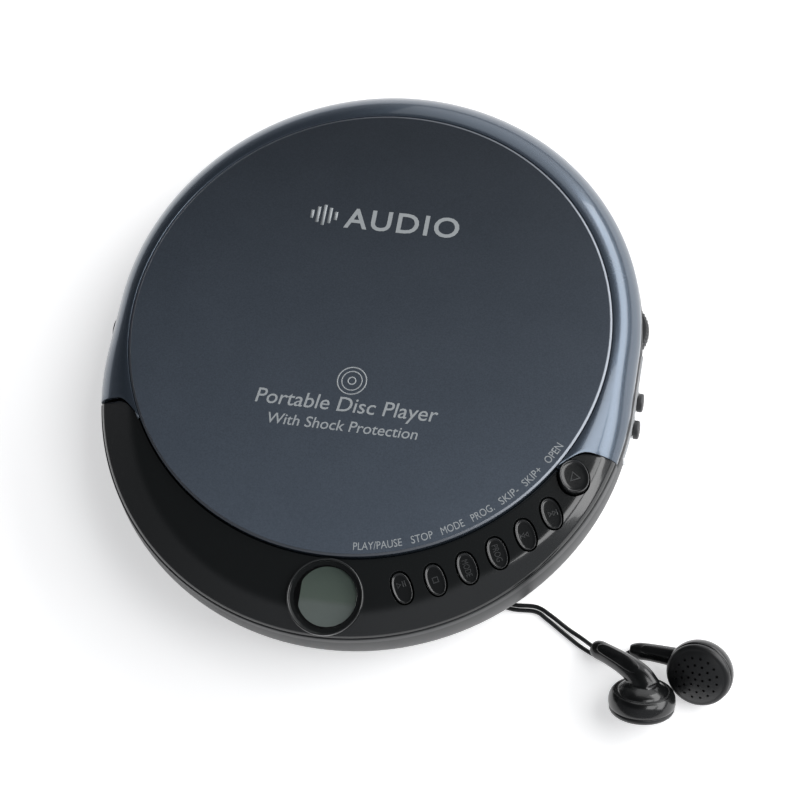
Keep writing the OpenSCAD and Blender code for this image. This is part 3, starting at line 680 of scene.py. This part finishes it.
def letters(text, size, spacing=1.0, shear=0.0, weight=0.0):
    """Built-in lettering as a flat mesh centred on x = 0 with its baseline on y = 0, in millimetres."""
    data = bpy.data.curves.new("letters", "FONT")
    data.body = text
    data.size = size
    data.space_character = spacing
    data.shear = shear
    data.offset = weight
    data.extrude = PRINT_DEPTH
    data.resolution_u = 4
    mesh = worked_out(linked("letters", data))
    xs = [v.co.x for v in mesh.vertices]
    shift = (min(xs) + max(xs)) / 2
    for v in mesh.vertices:
        v.co.x -= shift
    return mesh


def fitted(mesh, width, height=None):
    """Stretches lettering to a given width, and height if asked for."""
    xs = [v.co.x for v in mesh.vertices]
    ys = [v.co.y for v in mesh.vertices]
    wide = width / (max(xs) - min(xs))
    tall = wide if height is None else height / (max(ys) - min(ys))
    for v in mesh.vertices:
        v.co.x *= wide
        v.co.y *= tall
    return mesh


def bent_on_arc(mesh, radius, direction):
    """Lettering along a circle about the disc axis, its top towards the axis."""
    for v in mesh.vertices:
        a = radians(direction) + v.co.x / radius
        r = radius - v.co.y
        v.co.x = r * cos(a)
        v.co.y = r * sin(a) + DISC_Y
        v.co.z += PLATE_Z
    return mesh


# text, direction from the disc axis, width
LABELS = [("PLAY/PAUSE", -77.0, 12.2), ("STOP", -66.4, 5.6), ("MODE", -58.9, 6.0), ("PROG.", -51.1, 6.2),
          ("SKIP-", -43.7, 5.6), ("SKIP+", -36.5, 5.9), ("OPEN", -28.8, 5.9)]
label_meshes = [bent_on_arc(fitted(letters(text, 2.6), width, 2.0), 60.9, direction)
                for text, direction, width in LABELS]
add("button_labels", joined(label_meshes), "lid", "print", 0)


def flat_on_plate(mesh, x, y):
    """Lays a mesh on the plate, with x and y from its centre."""
    mesh.transform(moved(x, y + DISC_Y, PLATE_Z))
    return mesh


title = fitted(letters("Portable Disc Player", 5, shear=0.12, weight=0.02), 47.2)
subtitle = fitted(letters("With Shock Protection", 4.4, shear=0.12, weight=0.02), 38.8)
add("lid_lettering", joined([
    flat_on_plate(title, -1.2, -24.3), flat_on_plate(subtitle, -1.2, -29.6)]), "lid", "print", 0)


def printed_ring(outer, inner, place):
    """A thin flat ring, as deep as the lettering."""
    low, high = -PRINT_DEPTH, PRINT_DEPTH
    return revolve([(inner, low), (outer, low), (outer, high), (inner, high)], place, 64, True)


icon_place = moved(-1.1, DISC_Y - 15.7, PLATE_Z)
add("lid_disc_icon", joined([
    printed_ring(3.9, 3.55, icon_place), printed_ring(2.75, 2.45, icon_place),
    printed_ring(1.15, 0.8, icon_place)]), "lid", "print", 0)

word = fitted(letters("AUDIO", 8, spacing=1.15, weight=0.12), 30.5, 6.0)
wave = []
for k, tall in enumerate((2.4, 4.6, 6.0, 4.6, 2.4)):
    wave.append(block((-0.45 + 1.6 * k, 3 - tall / 2, -PRINT_DEPTH),
                      (0.45 + 1.6 * k, 3 + tall / 2, PRINT_DEPTH)))
add("lid_generic_mark", joined([flat_on_plate(word, 3.6, 27.6)] + [
    flat_on_plate(stripe, -20.6, 27.6) for stripe in wave]), "lid", "print", 0)

# ---------- front panel ----------

PANEL_INSET = 0.38
CREASE_SOFT = 0.28
EDGE_R = 0.9


def steepness(a):
    """Rises to 1 where the panel's outer slope narrows beside the OPEN button."""
    return max(0.0, min(1.0, (cos(a) - 0.5) / 0.4))


def panel_height(a, rho):
    """Gentle cone near the lid, a soft crease, and a steeper slope at the outer edge."""
    edge = reach(a, PANEL_INSET) - rho
    inner = PANEL_Z - (rho - PANEL_IN) * tan(PANEL_TILT)
    steep = steepness(a)
    outer = 21.35 + 1.2 * steep + (0.6 + 0.4 * steep) * edge
    z = -CREASE_SOFT * log(exp(-(inner - 24) / CREASE_SOFT) + exp(-(outer - 24) / CREASE_SOFT)) + 24
    if edge < EDGE_R:
        z -= EDGE_R * (1 - sqrt(max(0, 1 - (1 - edge / EDGE_R) ** 2)))
    return z


def panel_curves():
    """Curves of the front panel's skin from the lid plate out to the lip of the case."""
    curves = [(lambda a: PANEL_IN, lambda a, r: panel_height(a, r) - 0.3),
              (lambda a: PANEL_IN + 0.1, lambda a, r: panel_height(a, r) - 0.1),
              (lambda a: PANEL_IN + 0.3, lambda a, r: panel_height(a, r))]
    for k in range(1, 34):
        def rho_at(a, t=k / 34):
            low = PANEL_IN + 0.3
            return low + (reach(a, PANEL_INSET + EDGE_R) - low) * t
        curves.append((rho_at, panel_height))
    for edge in (0.9, 0.7, 0.5, 0.33, 0.2, 0.1, 0.03, 0.0):
        curves.append((lambda a, e=edge: reach(a, PANEL_INSET + e), panel_height))
    return curves


panel = plan_block(panel_curves(), PART_Z, True, 260, GAP)
panel = modified(panel, "BEVEL", width=0.14, segments=2, limit_method="ANGLE",
                 angle_limit=radians(60))
panel_tools = []
for key, direction, key_r in KEYS:
    panel_tools.append(oval_loft(KEY_W + 0.8, KEY_L + 0.8, [
        (0.2, -14), (0.2, -1.3), (0.02, -1.2), (0, -1.1), (0, -0.14), (-0.05, -0.05), (-0.14, 0.03),
        (-0.16, 4)], on_panel(key_r, direction, KEY_TURN)))
panel_tools.append(oval_loft(8.1, 9.3, [
    (0.1, -14), (0.1, -1.6), (0.02, -1.4), (0, -0.14), (-0.05, -0.05), (-0.14, 0.03),
    (-0.16, 6)], on_panel(OPEN_R, OPEN_DIR, KEY_TURN)))
panel_tools.append(revolve([(8.9, -14), (8.9, 4)], on_panel(DISPLAY_R, DISPLAY_DIR)))
panel_tools.append(block((60, -2.8, 10), (66.4, 2.8, 21.3), 0, latch_place))
panel = combined(panel, panel_tools)
add("front_crescent", panel, "player", "panel", 32, "front_panel")


def front_lip():
    """Edge of the lower case that stands round the front panel."""
    curves = []
    for inset, height in ((0.0, 20.05), (0.03, 20.25), (0.1, 20.42), (0.2, 20.5), (0.34, 20.5)):
        curves.append((lambda a, i=inset: reach(a, i),
                       lambda a, r, z=height: z + 1.15 * steepness(a)))
    return plan_block(curves, 18.38, True, 260, GAP)


add("front_case_lip", front_lip(), "player", "case", 50)

# ---------- buttons ----------

# (inset, height) pairs from the foot of a cap up over its narrow rim into its dish
CAP = [(0.3, -3.4), (0, -3.2), (0, -0.28), (0.02, -0.14), (0.08, -0.03), (0.17, 0.03), (0.27, 0.02),
       (0.36, -0.05), (0.44, -0.14), (0.54, -0.19), (0.75, -0.205), (1.2, -0.21), (2.1, -0.215)]
OPEN_CAP = [(0.3, -2.9), (0, -2.7), (0, 0.2), (0.04, 0.7), (0.1, 1.2), (0.16, 1.56), (0.25, 1.77),
            (0.36, 1.85), (0.48, 1.83), (0.58, 1.73), (0.68, 1.63), (0.85, 1.58), (1.5, 1.56), (3.2, 1.55)]


def outline(corners, width, low, high, place=None):
    """Closed band of even width along straight-sided corners, drawn inwards."""
    centre = sum((Vector(c) for c in corners), Vector((0, 0))) / len(corners)
    inner = [centre + (Vector(c) - centre) * (1 - width / (Vector(c) - centre).length) for c in corners]
    rings = [[(p[0], p[1], low) for p in corners], [(p[0], p[1], high) for p in corners],
             [(p.x, p.y, high) for p in inner], [(p.x, p.y, low) for p in inner]]
    return loft(rings, closed=True, place=place)


def bar(x0, y0, x1, y1, low, high):
    """One straight stroke of a key symbol."""
    return block((x0, y0, low), (x1, y1, high), 0.02)


def key_symbol(key):
    """Raised symbol in the dish of a button, read from the front of the case."""
    low, high = -0.3, -0.12
    if key == "play":
        return [outline([(-1.0, 0.15), (0.1, 0.9), (-1.0, 1.65)], 0.32, low, high),
                bar(0.35, 0.15, 0.6, 1.65, low, high), bar(0.9, 0.15, 1.15, 1.65, low, high)]
    if key == "stop":
        return [outline([(-0.75, -0.75), (0.75, -0.75), (0.75, 0.75), (-0.75, 0.75)], 0.34,
                        low, high)]
    if key in ("mode", "prog"):
        word_mesh = fitted(letters(key.upper(), 2), 4.3, 1.55)
        word_mesh.transform(moved(0, -0.78))
        word_mesh.transform(turned(-90, "Z"))
        for v in word_mesh.vertices:
            v.co.z = low if v.co.z < 0 else high
        return [word_mesh]
    way = 1 if key == "skip_forward" else -1
    marks = []
    for shift in (-0.75, 0.3):
        marks.append(outline([(way * shift, -0.7), (way * (shift + 0.95), 0.0),
                                       (way * shift, 0.7)], 0.3, low, high))
    x = way * 1.4
    marks.append(bar(x - 0.12, -0.7, x + 0.12, 0.7, low, high))
    return marks


for key, direction, key_r in KEYS:
    place = on_panel(key_r, direction, KEY_TURN)
    button = "button_" + key
    add(key + "_cap", oval_loft(KEY_W, KEY_L, CAP, place), button, "key", node=button)
    symbol = joined(key_symbol(key))
    symbol.transform(place)
    add(key + "_symbol", symbol, button, "raised_mark", 30)

open_place = on_panel(OPEN_R, OPEN_DIR, KEY_TURN)
add("open_cap", oval_loft(7.4, 8.6, OPEN_CAP, open_place), "open_button", "key",
    node="open_button")
add("open_symbol", outline([(-1.35, -0.95), (1.35, -0.95), (0, 1.3)], 0.42, 1.45, 1.67,
                           open_place), "open_button", "raised_mark", 30)

# ---------- display ----------

display_place = on_panel(DISPLAY_R, DISPLAY_DIR)
add("display_bezel", revolve([
    (7.9, -2.6), (8.75, -2.6), (8.75, -0.3), (9.6, -0.25), (9.6, 0.35), (9.57, 0.56), (9.48, 0.73),
    (9.35, 0.82), (9.2, 0.82), (9.07, 0.73), (8.98, 0.56), (8.93, 0.25), (8.88, -0.05), (8.78, -0.18),
    (8.2, -0.22), (7.95, -0.24), (7.9, -0.3)],
    display_place, 128, True), "player", "panel", node="display_ring")

add("display_window", revolve([
    (0, -0.55), (7.9, -0.55), (7.93, -0.4), (7.93, -0.15), (7.8, -0.08), (6.5, 0.0), (4, 0.05), (0, 0.07)],
    display_place, 96), "player", "clear", node="display_lens")


def display_mask():
    """Black frame behind the window: its round opening sits off centre and is cut straight on the left."""
    outer, inner = [], []
    for k in range(96):
        a = 2 * pi * k / 96
        outer.append((7.9 * cos(a), 7.9 * sin(a)))
        inner.append((max(7.45 * cos(a) + 0.3, -6.5), 7.45 * sin(a) + 0.2))
    rings = [[(x, y, z) for x, y in edge]
             for edge, z in ((outer, -1.0), (outer, -0.8), (inner, -0.8), (inner, -1.0))]
    return loft(rings, closed=True, place=display_place)


add("display_mask", display_mask(), "player", "mask", 20)
add("display_crystal", revolve([
    (0, -2.9), (7.8, -2.9), (7.88, -2.8), (7.88, -1.15), (7.8, -1.05), (0, -1.05)], display_place, 64),
    "player", "crystal", node="lcd_panel")

# ---------- lower case ----------

# section of the wall from the underside out, up and back down inside: distance from the middle line, height
SHELL = [(57.0, 2.5), (58.6, 2.53), (60.6, 2.72), (62.4, 3.1), (64.1, 3.75), (65.6, 4.7), (66.9, 5.9),
         (67.9, 7.3), (68.7, 8.95), (69.2, 10.7), (69.44, 12.3), (69.5, 13.8), (69.5, 18.35),
         (69.42, 18.6), (69.25, 18.8), (68.7, 19.15), (68.35, 19.4), (68.0, 19.5), (67.6, 19.45),
         (67.4, 19.2), (67.4, 13.8), (67.0, 10.9), (65.9, 8.2), (64.1, 6.1), (61.5, 4.8), (58.5, 4.35),
         (56.0, 4.3)]
shell = loft([case_ring(r, z) for r, z in SHELL])
hinge_block = block((-24.6, 67.2, 7), (24.6, 80, 19.5))
hinge_block = combined(hinge_block,
                       [loft([case_ring(r, z) for r, z in SHELL[:14]] + [
                           case_ring(68.9, 19.5), case_ring(20, 19.5)])], "INTERSECT")
shell = combined(shell, [hinge_block], "UNION")


def socket_bore(r, y):
    """Round cutter through the left wall."""
    return revolve([(r, 0), (r, 20)], moved(-60, y, 13) @ turned(-90, "Y"), 48)


shell_tools = [
    block((-27.5, 31, -1), (27.5, 62, 10)),
    block((-27.9, 30.6, -1), (27.9, 90, 3.5)),
    block((60, 9.1, 13.2), (80, 25.2, 16.8), 0.4),
    block((60, -4.0, 13.7), (80, 1.0, 16.3), 0.3),
    block((60, -11.5, 13.7), (80, -6.5, 16.3), 0.3),
    socket_bore(3.8, 2), socket_bore(4.2, -12),
    block((-22.6, 73.6, 11.5), (22.6, 86, 21.5), 0.3),
    block((-19.3, 69.2, 13.7), (-14.7, 81, 23.7), 0.2),
    block((14.7, 69.2, 13.7), (19.3, 81, 23.7), 0.2),
    block((5, 69.2, 13.7), (11, 81, 23.7), 0.2),
]
for x, y in FEET:
    shell_tools.append(revolve([(5.2, -1), (5.2, 3.0)], moved(x, y), 48))
for x, y in SCREWS:
    shell_tools.append(revolve([(2.7, 0), (2.2, 3.6), (2.2, 5.4)], moved(x, y), 32))
shell = combined(shell, shell_tools)
add("lower_shell", shell, "player", "case", 30, "bottom_shell")

bay = combined(block((-28.7, 29.8, 4.25), (28.7, 63.2, 18)),
               [block((-27.5, 31, 0), (27.5, 62, 30))])
add("battery_bay_walls", bay, "player", "case", 30)
posts = [revolve([(2.8, 5.0), (2.8, 16.4), (2.6, 16.6), (1, 16.6), (1, 5.0)],
                 moved(x, y), 32, True) for x, y in SCREWS]
for x, y in [(-31, -45), (31, -45), (-18, 22.5), (18, 22.5)]:
    posts.append(revolve([(1.3, 4.2), (1.3, 10.3), (1.1, 10.5)], moved(x, y), 32))
for x, y in [(-56, -19), (-56, 21), (-38, -19), (-38, 21), (59.9, 16.7)]:
    posts.append(revolve([(2, 4.2), (2, 8)], moved(x, y), 32))
add("case_posts", joined(posts), "player", "case", 30)

# ---------- side controls ----------

WHEEL_R = 9.0
WHEEL_RIDGES = 54


def ridged_wheel():
    """Thumb wheel with rounded ridges round its rim."""
    count = WHEEL_RIDGES * 6
    rings = []
    for inset, z in ((0.9, 13.6), (0.35, 13.62), (0.05, 13.85), (0, 14.1), (0, 15.9), (0.05, 16.15),
                     (0.35, 16.38), (0.9, 16.4), (5.2, 16.4), (5.4, 16.2), (7.2, 16.2), (7.4, 16.2),
                     (7.4, 13.6)):
        ring_points = []
        for k in range(count):
            a = 2 * pi * k / count
            r = WHEEL_R - inset
            if inset < 0.5:
                r -= 0.34 * max(0.0, cos(WHEEL_RIDGES * a)) ** 0.8
            ring_points.append((WHEEL_AT[0] + r * cos(a), WHEEL_AT[1] + r * sin(a), z))
        rings.append(ring_points)
    return loft(rings, closed=True)


add("thumb_wheel", ridged_wheel(), "volume_wheel", "knob", 50, "volume_wheel")


def slider(name, y, body, node):
    """Round slide knob with three raised ridges across its face."""
    place = moved(70.7, y, SIDE_Z) @ turned(90, "Y")
    cap_mesh = revolve([(0, -0.6), (2.25, -0.6), (2.4, -0.45), (2.4, 0.35), (2.33, 0.58),
                                      (2.15, 0.76), (1.85, 0.84), (0, 0.84)], place, 64)
    parts = [cap_mesh, block((66, y - 1.1, SIDE_Z - 1.1), (70.8, y + 1.1, SIDE_Z + 1.1), 0.1)]
    for shift in (-0.8, 0, 0.8):
        tall = sqrt(1.75 ** 2 - shift ** 2)
        parts.append(block((71.4, y + shift - 0.14, SIDE_Z - tall),
                           (71.6, y + shift + 0.14, SIDE_Z + tall), 0.06))
    add(name, joined(parts), body, "knob", node=node)


slider("bass_slider", -2.5, "bass_switch", "bass_knob")
slider("hold_slider", -10, "hold_switch", "hold_knob")

# ---------- underside ----------

feet = [revolve([(0, 0.12), (3.4, 0.12), (3.6, 0.0), (4.4, 0.0), (4.75, 0.15), (4.95, 0.5),
                         (5.0, 1.0), (5.0, 2.98), (0, 2.98)], moved(x, y), 64) for x, y in FEET]
add("foot_pads", joined(feet), "player", "rubber", node="rubber_feet")

door = block((-27.4, 31.1, 2.55), (27.4, 61.9, 3.4), 0.12)
grips = [block((-9, 46.1 + 1.6 * k, 2), (9, 46.8 + 1.6 * k, 2.85), 0.08) for k in range(2, 8)]
add("battery_door_panel", combined(door, grips), "battery_door", "door", 30,
    "battery_door")
arrow = outline([(-2.6, 42.0), (2.6, 42.0), (0, 46.2)], 0.7, 2.5, 2.6)
add("door_arrow", arrow, "battery_door", "door", 30)

# ---------- earphones ----------

front_bud_place = moved(81.0, -77.3, 7.5) @ turned(3, "Z") @ turned(135, "X")
rear_bud_place = moved(94.1, -68.25, 7.05) @ turned(-106, "Z") @ turned(44, "Y")


def tube(points, sizes, count=28):
    """Tapered tube along points. Each size is (half width, half height)."""
    rings = []
    last = len(points) - 1
    for i, p in enumerate(points):
        forward = (points[min(i + 1, last)] - points[max(i - 1, 0)]).normalized()
        across = forward.cross(Vector((0, 0, 1))).normalized()
        over = across.cross(forward)
        w, h = sizes[i]
        turns = [2 * pi * k / count for k in range(count)]
        rings.append([tuple(p + across * (w * cos(a)) + over * (h * sin(a))) for a in turns])
    return loft(rings)


DRUM = [(0, -3.4), (5.4, -2.9), (6.1, -2.55), (6.35, -2.5), (6.6, -2.62), (6.95, -2.62), (7.35, -2.35),
        (7.75, -1.85), (8.05, -1.15), (8.2, -0.3), (8.22, 0.5), (8.12, 1.05), (7.98, 1.3), (7.8, 1.38),
        (0, 1.4)]


def housing(name, place, line, sizes, node):
    """Earbud back: a crisp drum with a ledge, and a stem that flows into its domed back."""
    dome = revolve([(0, -4.5), (1.6, -4.45), (3.2, -4.2), (4.6, -3.75), (5.7, -3.1), (6.15, -2.6),
                            (6.15, -1.6), (0, -1.6)], place, 96)
    blended = joined([dome, tube(line, sizes)])
    blended = modified(blended, "REMESH", mode="VOXEL", voxel_size=0.24)
    blended = modified(blended, "SMOOTH", factor=0.5, iterations=16)
    add(name + "_stem", blended, "player", "bud", 0)
    return add(name, revolve(DRUM, place, 128), "player", "bud", 38, node)


front_stem_line = spline_points([(67.4, -64.8, 3.9), (69.6, -65.8, 5.0), (72.8, -67.6, 7.0),
                                 (76.4, -69.8, 9.0), (79.9, -72.4, 10.3), (82.2, -75.2, 9.9)], 5)
rear_stem_line = spline_points([(76.2, -63.8, 2.5), (80.5, -63.9, 3.2), (85.0, -64.3, 3.8),
                                (89.5, -64.9, 4.4), (94.0, -65.9, 5.0)], 5)


def stem_sizes(line, start, middle, end, flat):
    """Half width and half height along a stem: a blunt start that widens towards the drum."""
    sizes = []
    last = len(line) - 1
    for i in range(len(line)):
        t = i / last
        w = start + (middle - start) * sin(min(1.0, t / 0.16) * pi / 2)
        w += (end - middle) * max(0.0, (t - 0.25) / 0.75) ** 1.4
        sizes.append((w, w * (1 - flat * t)))
    return sizes


front_sizes = stem_sizes(front_stem_line, 1.9, 2.45, 3.6, 0.25)
rear_sizes = stem_sizes(rear_stem_line, 1.5, 2.2, 2.9, 0.15)
front_housing = housing("front_bud_housing", front_bud_place, front_stem_line, front_sizes,
                        "bud_shell_front")
rear_housing = housing("rear_bud_housing", rear_bud_place, rear_stem_line, rear_sizes, "bud_shell_rear")


def stem_badge(name, line, sizes):
    """Raised oval field along the top of a stem, left blank."""
    first, last = int(len(line) * 0.16), int(len(line) * 0.8)
    spine, half = [], []
    for i in range(first, last + 1):
        forward = (line[min(i + 1, len(line) - 1)] - line[i - 1]).normalized()
        across = forward.cross(Vector((0, 0, 1))).normalized()
        over = across.cross(forward)
        t = (i - first) / (last - first)
        swell = sqrt(max(0.0, 1 - (2 * t - 1) ** 4))
        spine.append(line[i] + over * (sizes[i][1] * 0.93))
        half.append((max(0.05, sizes[i][0] * 0.58 * swell), max(0.02, 0.42 * swell)))
    add(name, tube(spine, half, 24), "player", "bud", 40)


stem_badge("front_stem_badge", front_stem_line, front_sizes)
stem_badge("rear_stem_badge", rear_stem_line, rear_sizes)

GRILLE = [(0, 1.36), (7.72, 1.36), (7.88, 1.45), (8.0, 1.7), (7.98, 2.1), (7.8, 2.5), (7.45, 2.85),
          (7.1, 3.02), (6.85, 3.05), (6.7, 3.12), (6.3, 3.35), (5.4, 3.72), (4.3, 4.1), (2.8, 4.45),
          (1.4, 4.64), (0, 4.7)]


def grille(name, place, node):
    """Bud front: rounded lip, a ledge and a domed face with small sound holes."""
    mesh = revolve(GRILLE, None, 96)
    holes = []
    for radius, count in ((0.0, 1), (1.75, 6), (3.5, 12), (5.2, 16)):
        for k in range(count):
            a = 2 * pi * k / count + radius
            holes.append(revolve([(0.34, 3.2), (0.34, 6.0)],
                                 moved(radius * cos(a), radius * sin(a)), 12))
    mesh = combined(mesh, holes)
    mesh.transform(place)
    return add(name, mesh, "player", "grille", 35, node)


front_grille = grille("front_bud_grille", front_bud_place, "bud_grille_front")
rear_grille = grille("rear_bud_grille", rear_bud_place, "bud_grille_rear")

split_place = moved(13, -42, 1.1) @ turned(-26, "Z") @ turned(90, "Y")
add("cord_split_piece", revolve([
    (0, -4.2), (0.7, -4.2), (0.95, -4.0), (1.1, -3.5), (1.1, 2.6), (1.0, 2.95), (0.8, 3.15), (0, 3.2)],
    split_place, 48), "player", "bud", node="split_piece")

plug_place = moved(-38.2, 69.2, 3) @ turned(223, "Z") @ turned(90, "Y")
relief = [(0, 0), (1.1, 0), (1.2, 0.1)]
for k in range(4):
    z = 0.3 + 0.9 * k
    relief += [(1.2 + 0.1 * k, z), (1.45 + 0.1 * k, z + 0.1), (1.5 + 0.1 * k, z + 0.55),
               (1.25 + 0.1 * k, z + 0.65)]
relief += [(1.7, 3.95), (2.5, 4.0), (2.8, 4.15), (2.9, 4.5), (2.9, 12.4), (2.75, 12.8), (2.4, 13.0),
           (0, 13.0)]
plug_grip = add("plug_grip", revolve(relief, plug_place, 64), "player", "bud", node="plug")
metal = [(0, 12.9), (1.95, 12.9), (1.95, 13.4), (1.75, 13.45), (1.75, 17.3), (1.62, 17.35), (1.62, 17.85),
         (1.75, 17.9), (1.75, 21.2), (1.62, 21.25), (1.62, 21.75), (1.75, 21.8), (1.75, 23.0),
         (1.45, 23.6), (1.3, 24.0), (1.55, 24.6), (1.7, 25.2), (1.2, 26.4), (0.6, 27.0), (0, 27.0)]
plug_metal = add("plug_contacts", revolve(metal, plug_place, 48), "player", "contact")

path_length(front_line) * MM
path_length(rear_line) * MM
path_length(lead_line) * MM

# ---------- carried-over nodes ----------

KEPT = {
    "deck": ["top_deck", "mech_chassis", "turntable"],
    "inner": ["latch_slide", "headphone_jack", "power_jack", "lid_switch", "volume_pot", "key_switches",
              "board_parts", "lens_holder"],
    "steel": ["hinge_pins", "lid_spring", "guide_rods", "lead_screw", "case_screws", "battery_contacts",
              "hub_balls", "slide_switches", "spindle_motor", "sled_motor"],
    "cast": ["pickup_sled"],
    "board": ["main_board", "key_board"],
    "film": ["flat_cable"],
    "rubber": ["chassis_dampers"],
    "trim": ["side_trim"],
}
for paint, names in KEPT.items():
    for name in names:
        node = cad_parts[name]
        node.data.materials.clear()
        node.data.materials.append(PAINT[paint])

# ---------- floor, light and world ----------

floor_paint = finish_material("floor_finish", (0.9, 0.9, 0.905), 0.75, 300, 0.01, 0.004)
floor_shader = floor_paint.node_tree.nodes["Principled BSDF"]
floor_shader.inputs["Emission Color"].default_value = (1.0, 1.0, 1.0, 1)
floor_shader.inputs["Emission Strength"].default_value = 0.5
FLOOR = 3
floor_mesh = bpy.data.meshes.new("floor")
floor_mesh.from_pydata([(-FLOOR, -FLOOR, 0), (FLOOR, -FLOOR, 0), (FLOOR, FLOOR, 0), (-FLOOR, FLOOR, 0)], [],
                       [(0, 1, 2, 3)])
floor_mesh.materials.append(floor_paint)
floor = linked("floor", floor_mesh)


def area_light(name, position, target, power, wide, tall):
    """A soft light that faces the target."""
    data = bpy.data.lights.new(name, "AREA")
    data.shape = "RECTANGLE"
    data.size = wide
    data.size_y = tall
    data.energy = power
    light = linked(name, data)
    light.location = position
    light.rotation_euler = (Vector(target) - Vector(position)).to_track_quat("-Z", "Y").to_euler()


area_light("key_light", (0.733, 0.06, 1.086), (0.02, 0, 0), 6.6, 0.9, 0.65)
area_light("right_light", (0.9, 0.42, 0.5), (0.05, 0, 0.01), 11, 1.7, 0.5)
area_light("back_light", (0.15, 1.0, 0.5), (0, 0.03, 0.02), 2, 0.8, 0.8)
world = bpy.data.worlds.new("studio")
world.use_nodes = True
sky, sky_links = world.node_tree.nodes, world.node_tree.links
# a dark card hangs overhead where the flat black surfaces would mirror the sky into the camera
aside = sky.new("ShaderNodeVectorMath")
aside.operation = "DOT_PRODUCT"
sky_links.new(sky.new("ShaderNodeTexCoord").outputs["Generated"], aside.inputs[0])
aside.inputs[1].default_value = (-to_camera.x, -to_camera.y, to_camera.z)
card = remap(sky, sky_links, aside.outputs["Value"], 0.42, 0.07, 0.5, 0.88, "SMOOTHSTEP")
# the left side of the room is dimmer than the right
side = sky.new("ShaderNodeSeparateXYZ")
sky_links.new(aside.inputs[0].links[0].from_socket, side.inputs[0])
product = sky.new("ShaderNodeMath")
product.operation = "MULTIPLY"
sky_links.new(card, product.inputs[0])
sky_links.new(remap(sky, sky_links, side.outputs["X"], 0.4, 1.0, -0.9, 0.1), product.inputs[1])
sky_links.new(product.outputs["Value"], sky["Background"].inputs["Strength"])
sky["Background"].inputs["Color"].default_value = (0.93, 0.95, 1.0, 1)
bpy.context.scene.world = world
bpy.context.scene.view_settings.view_transform = "Standard"
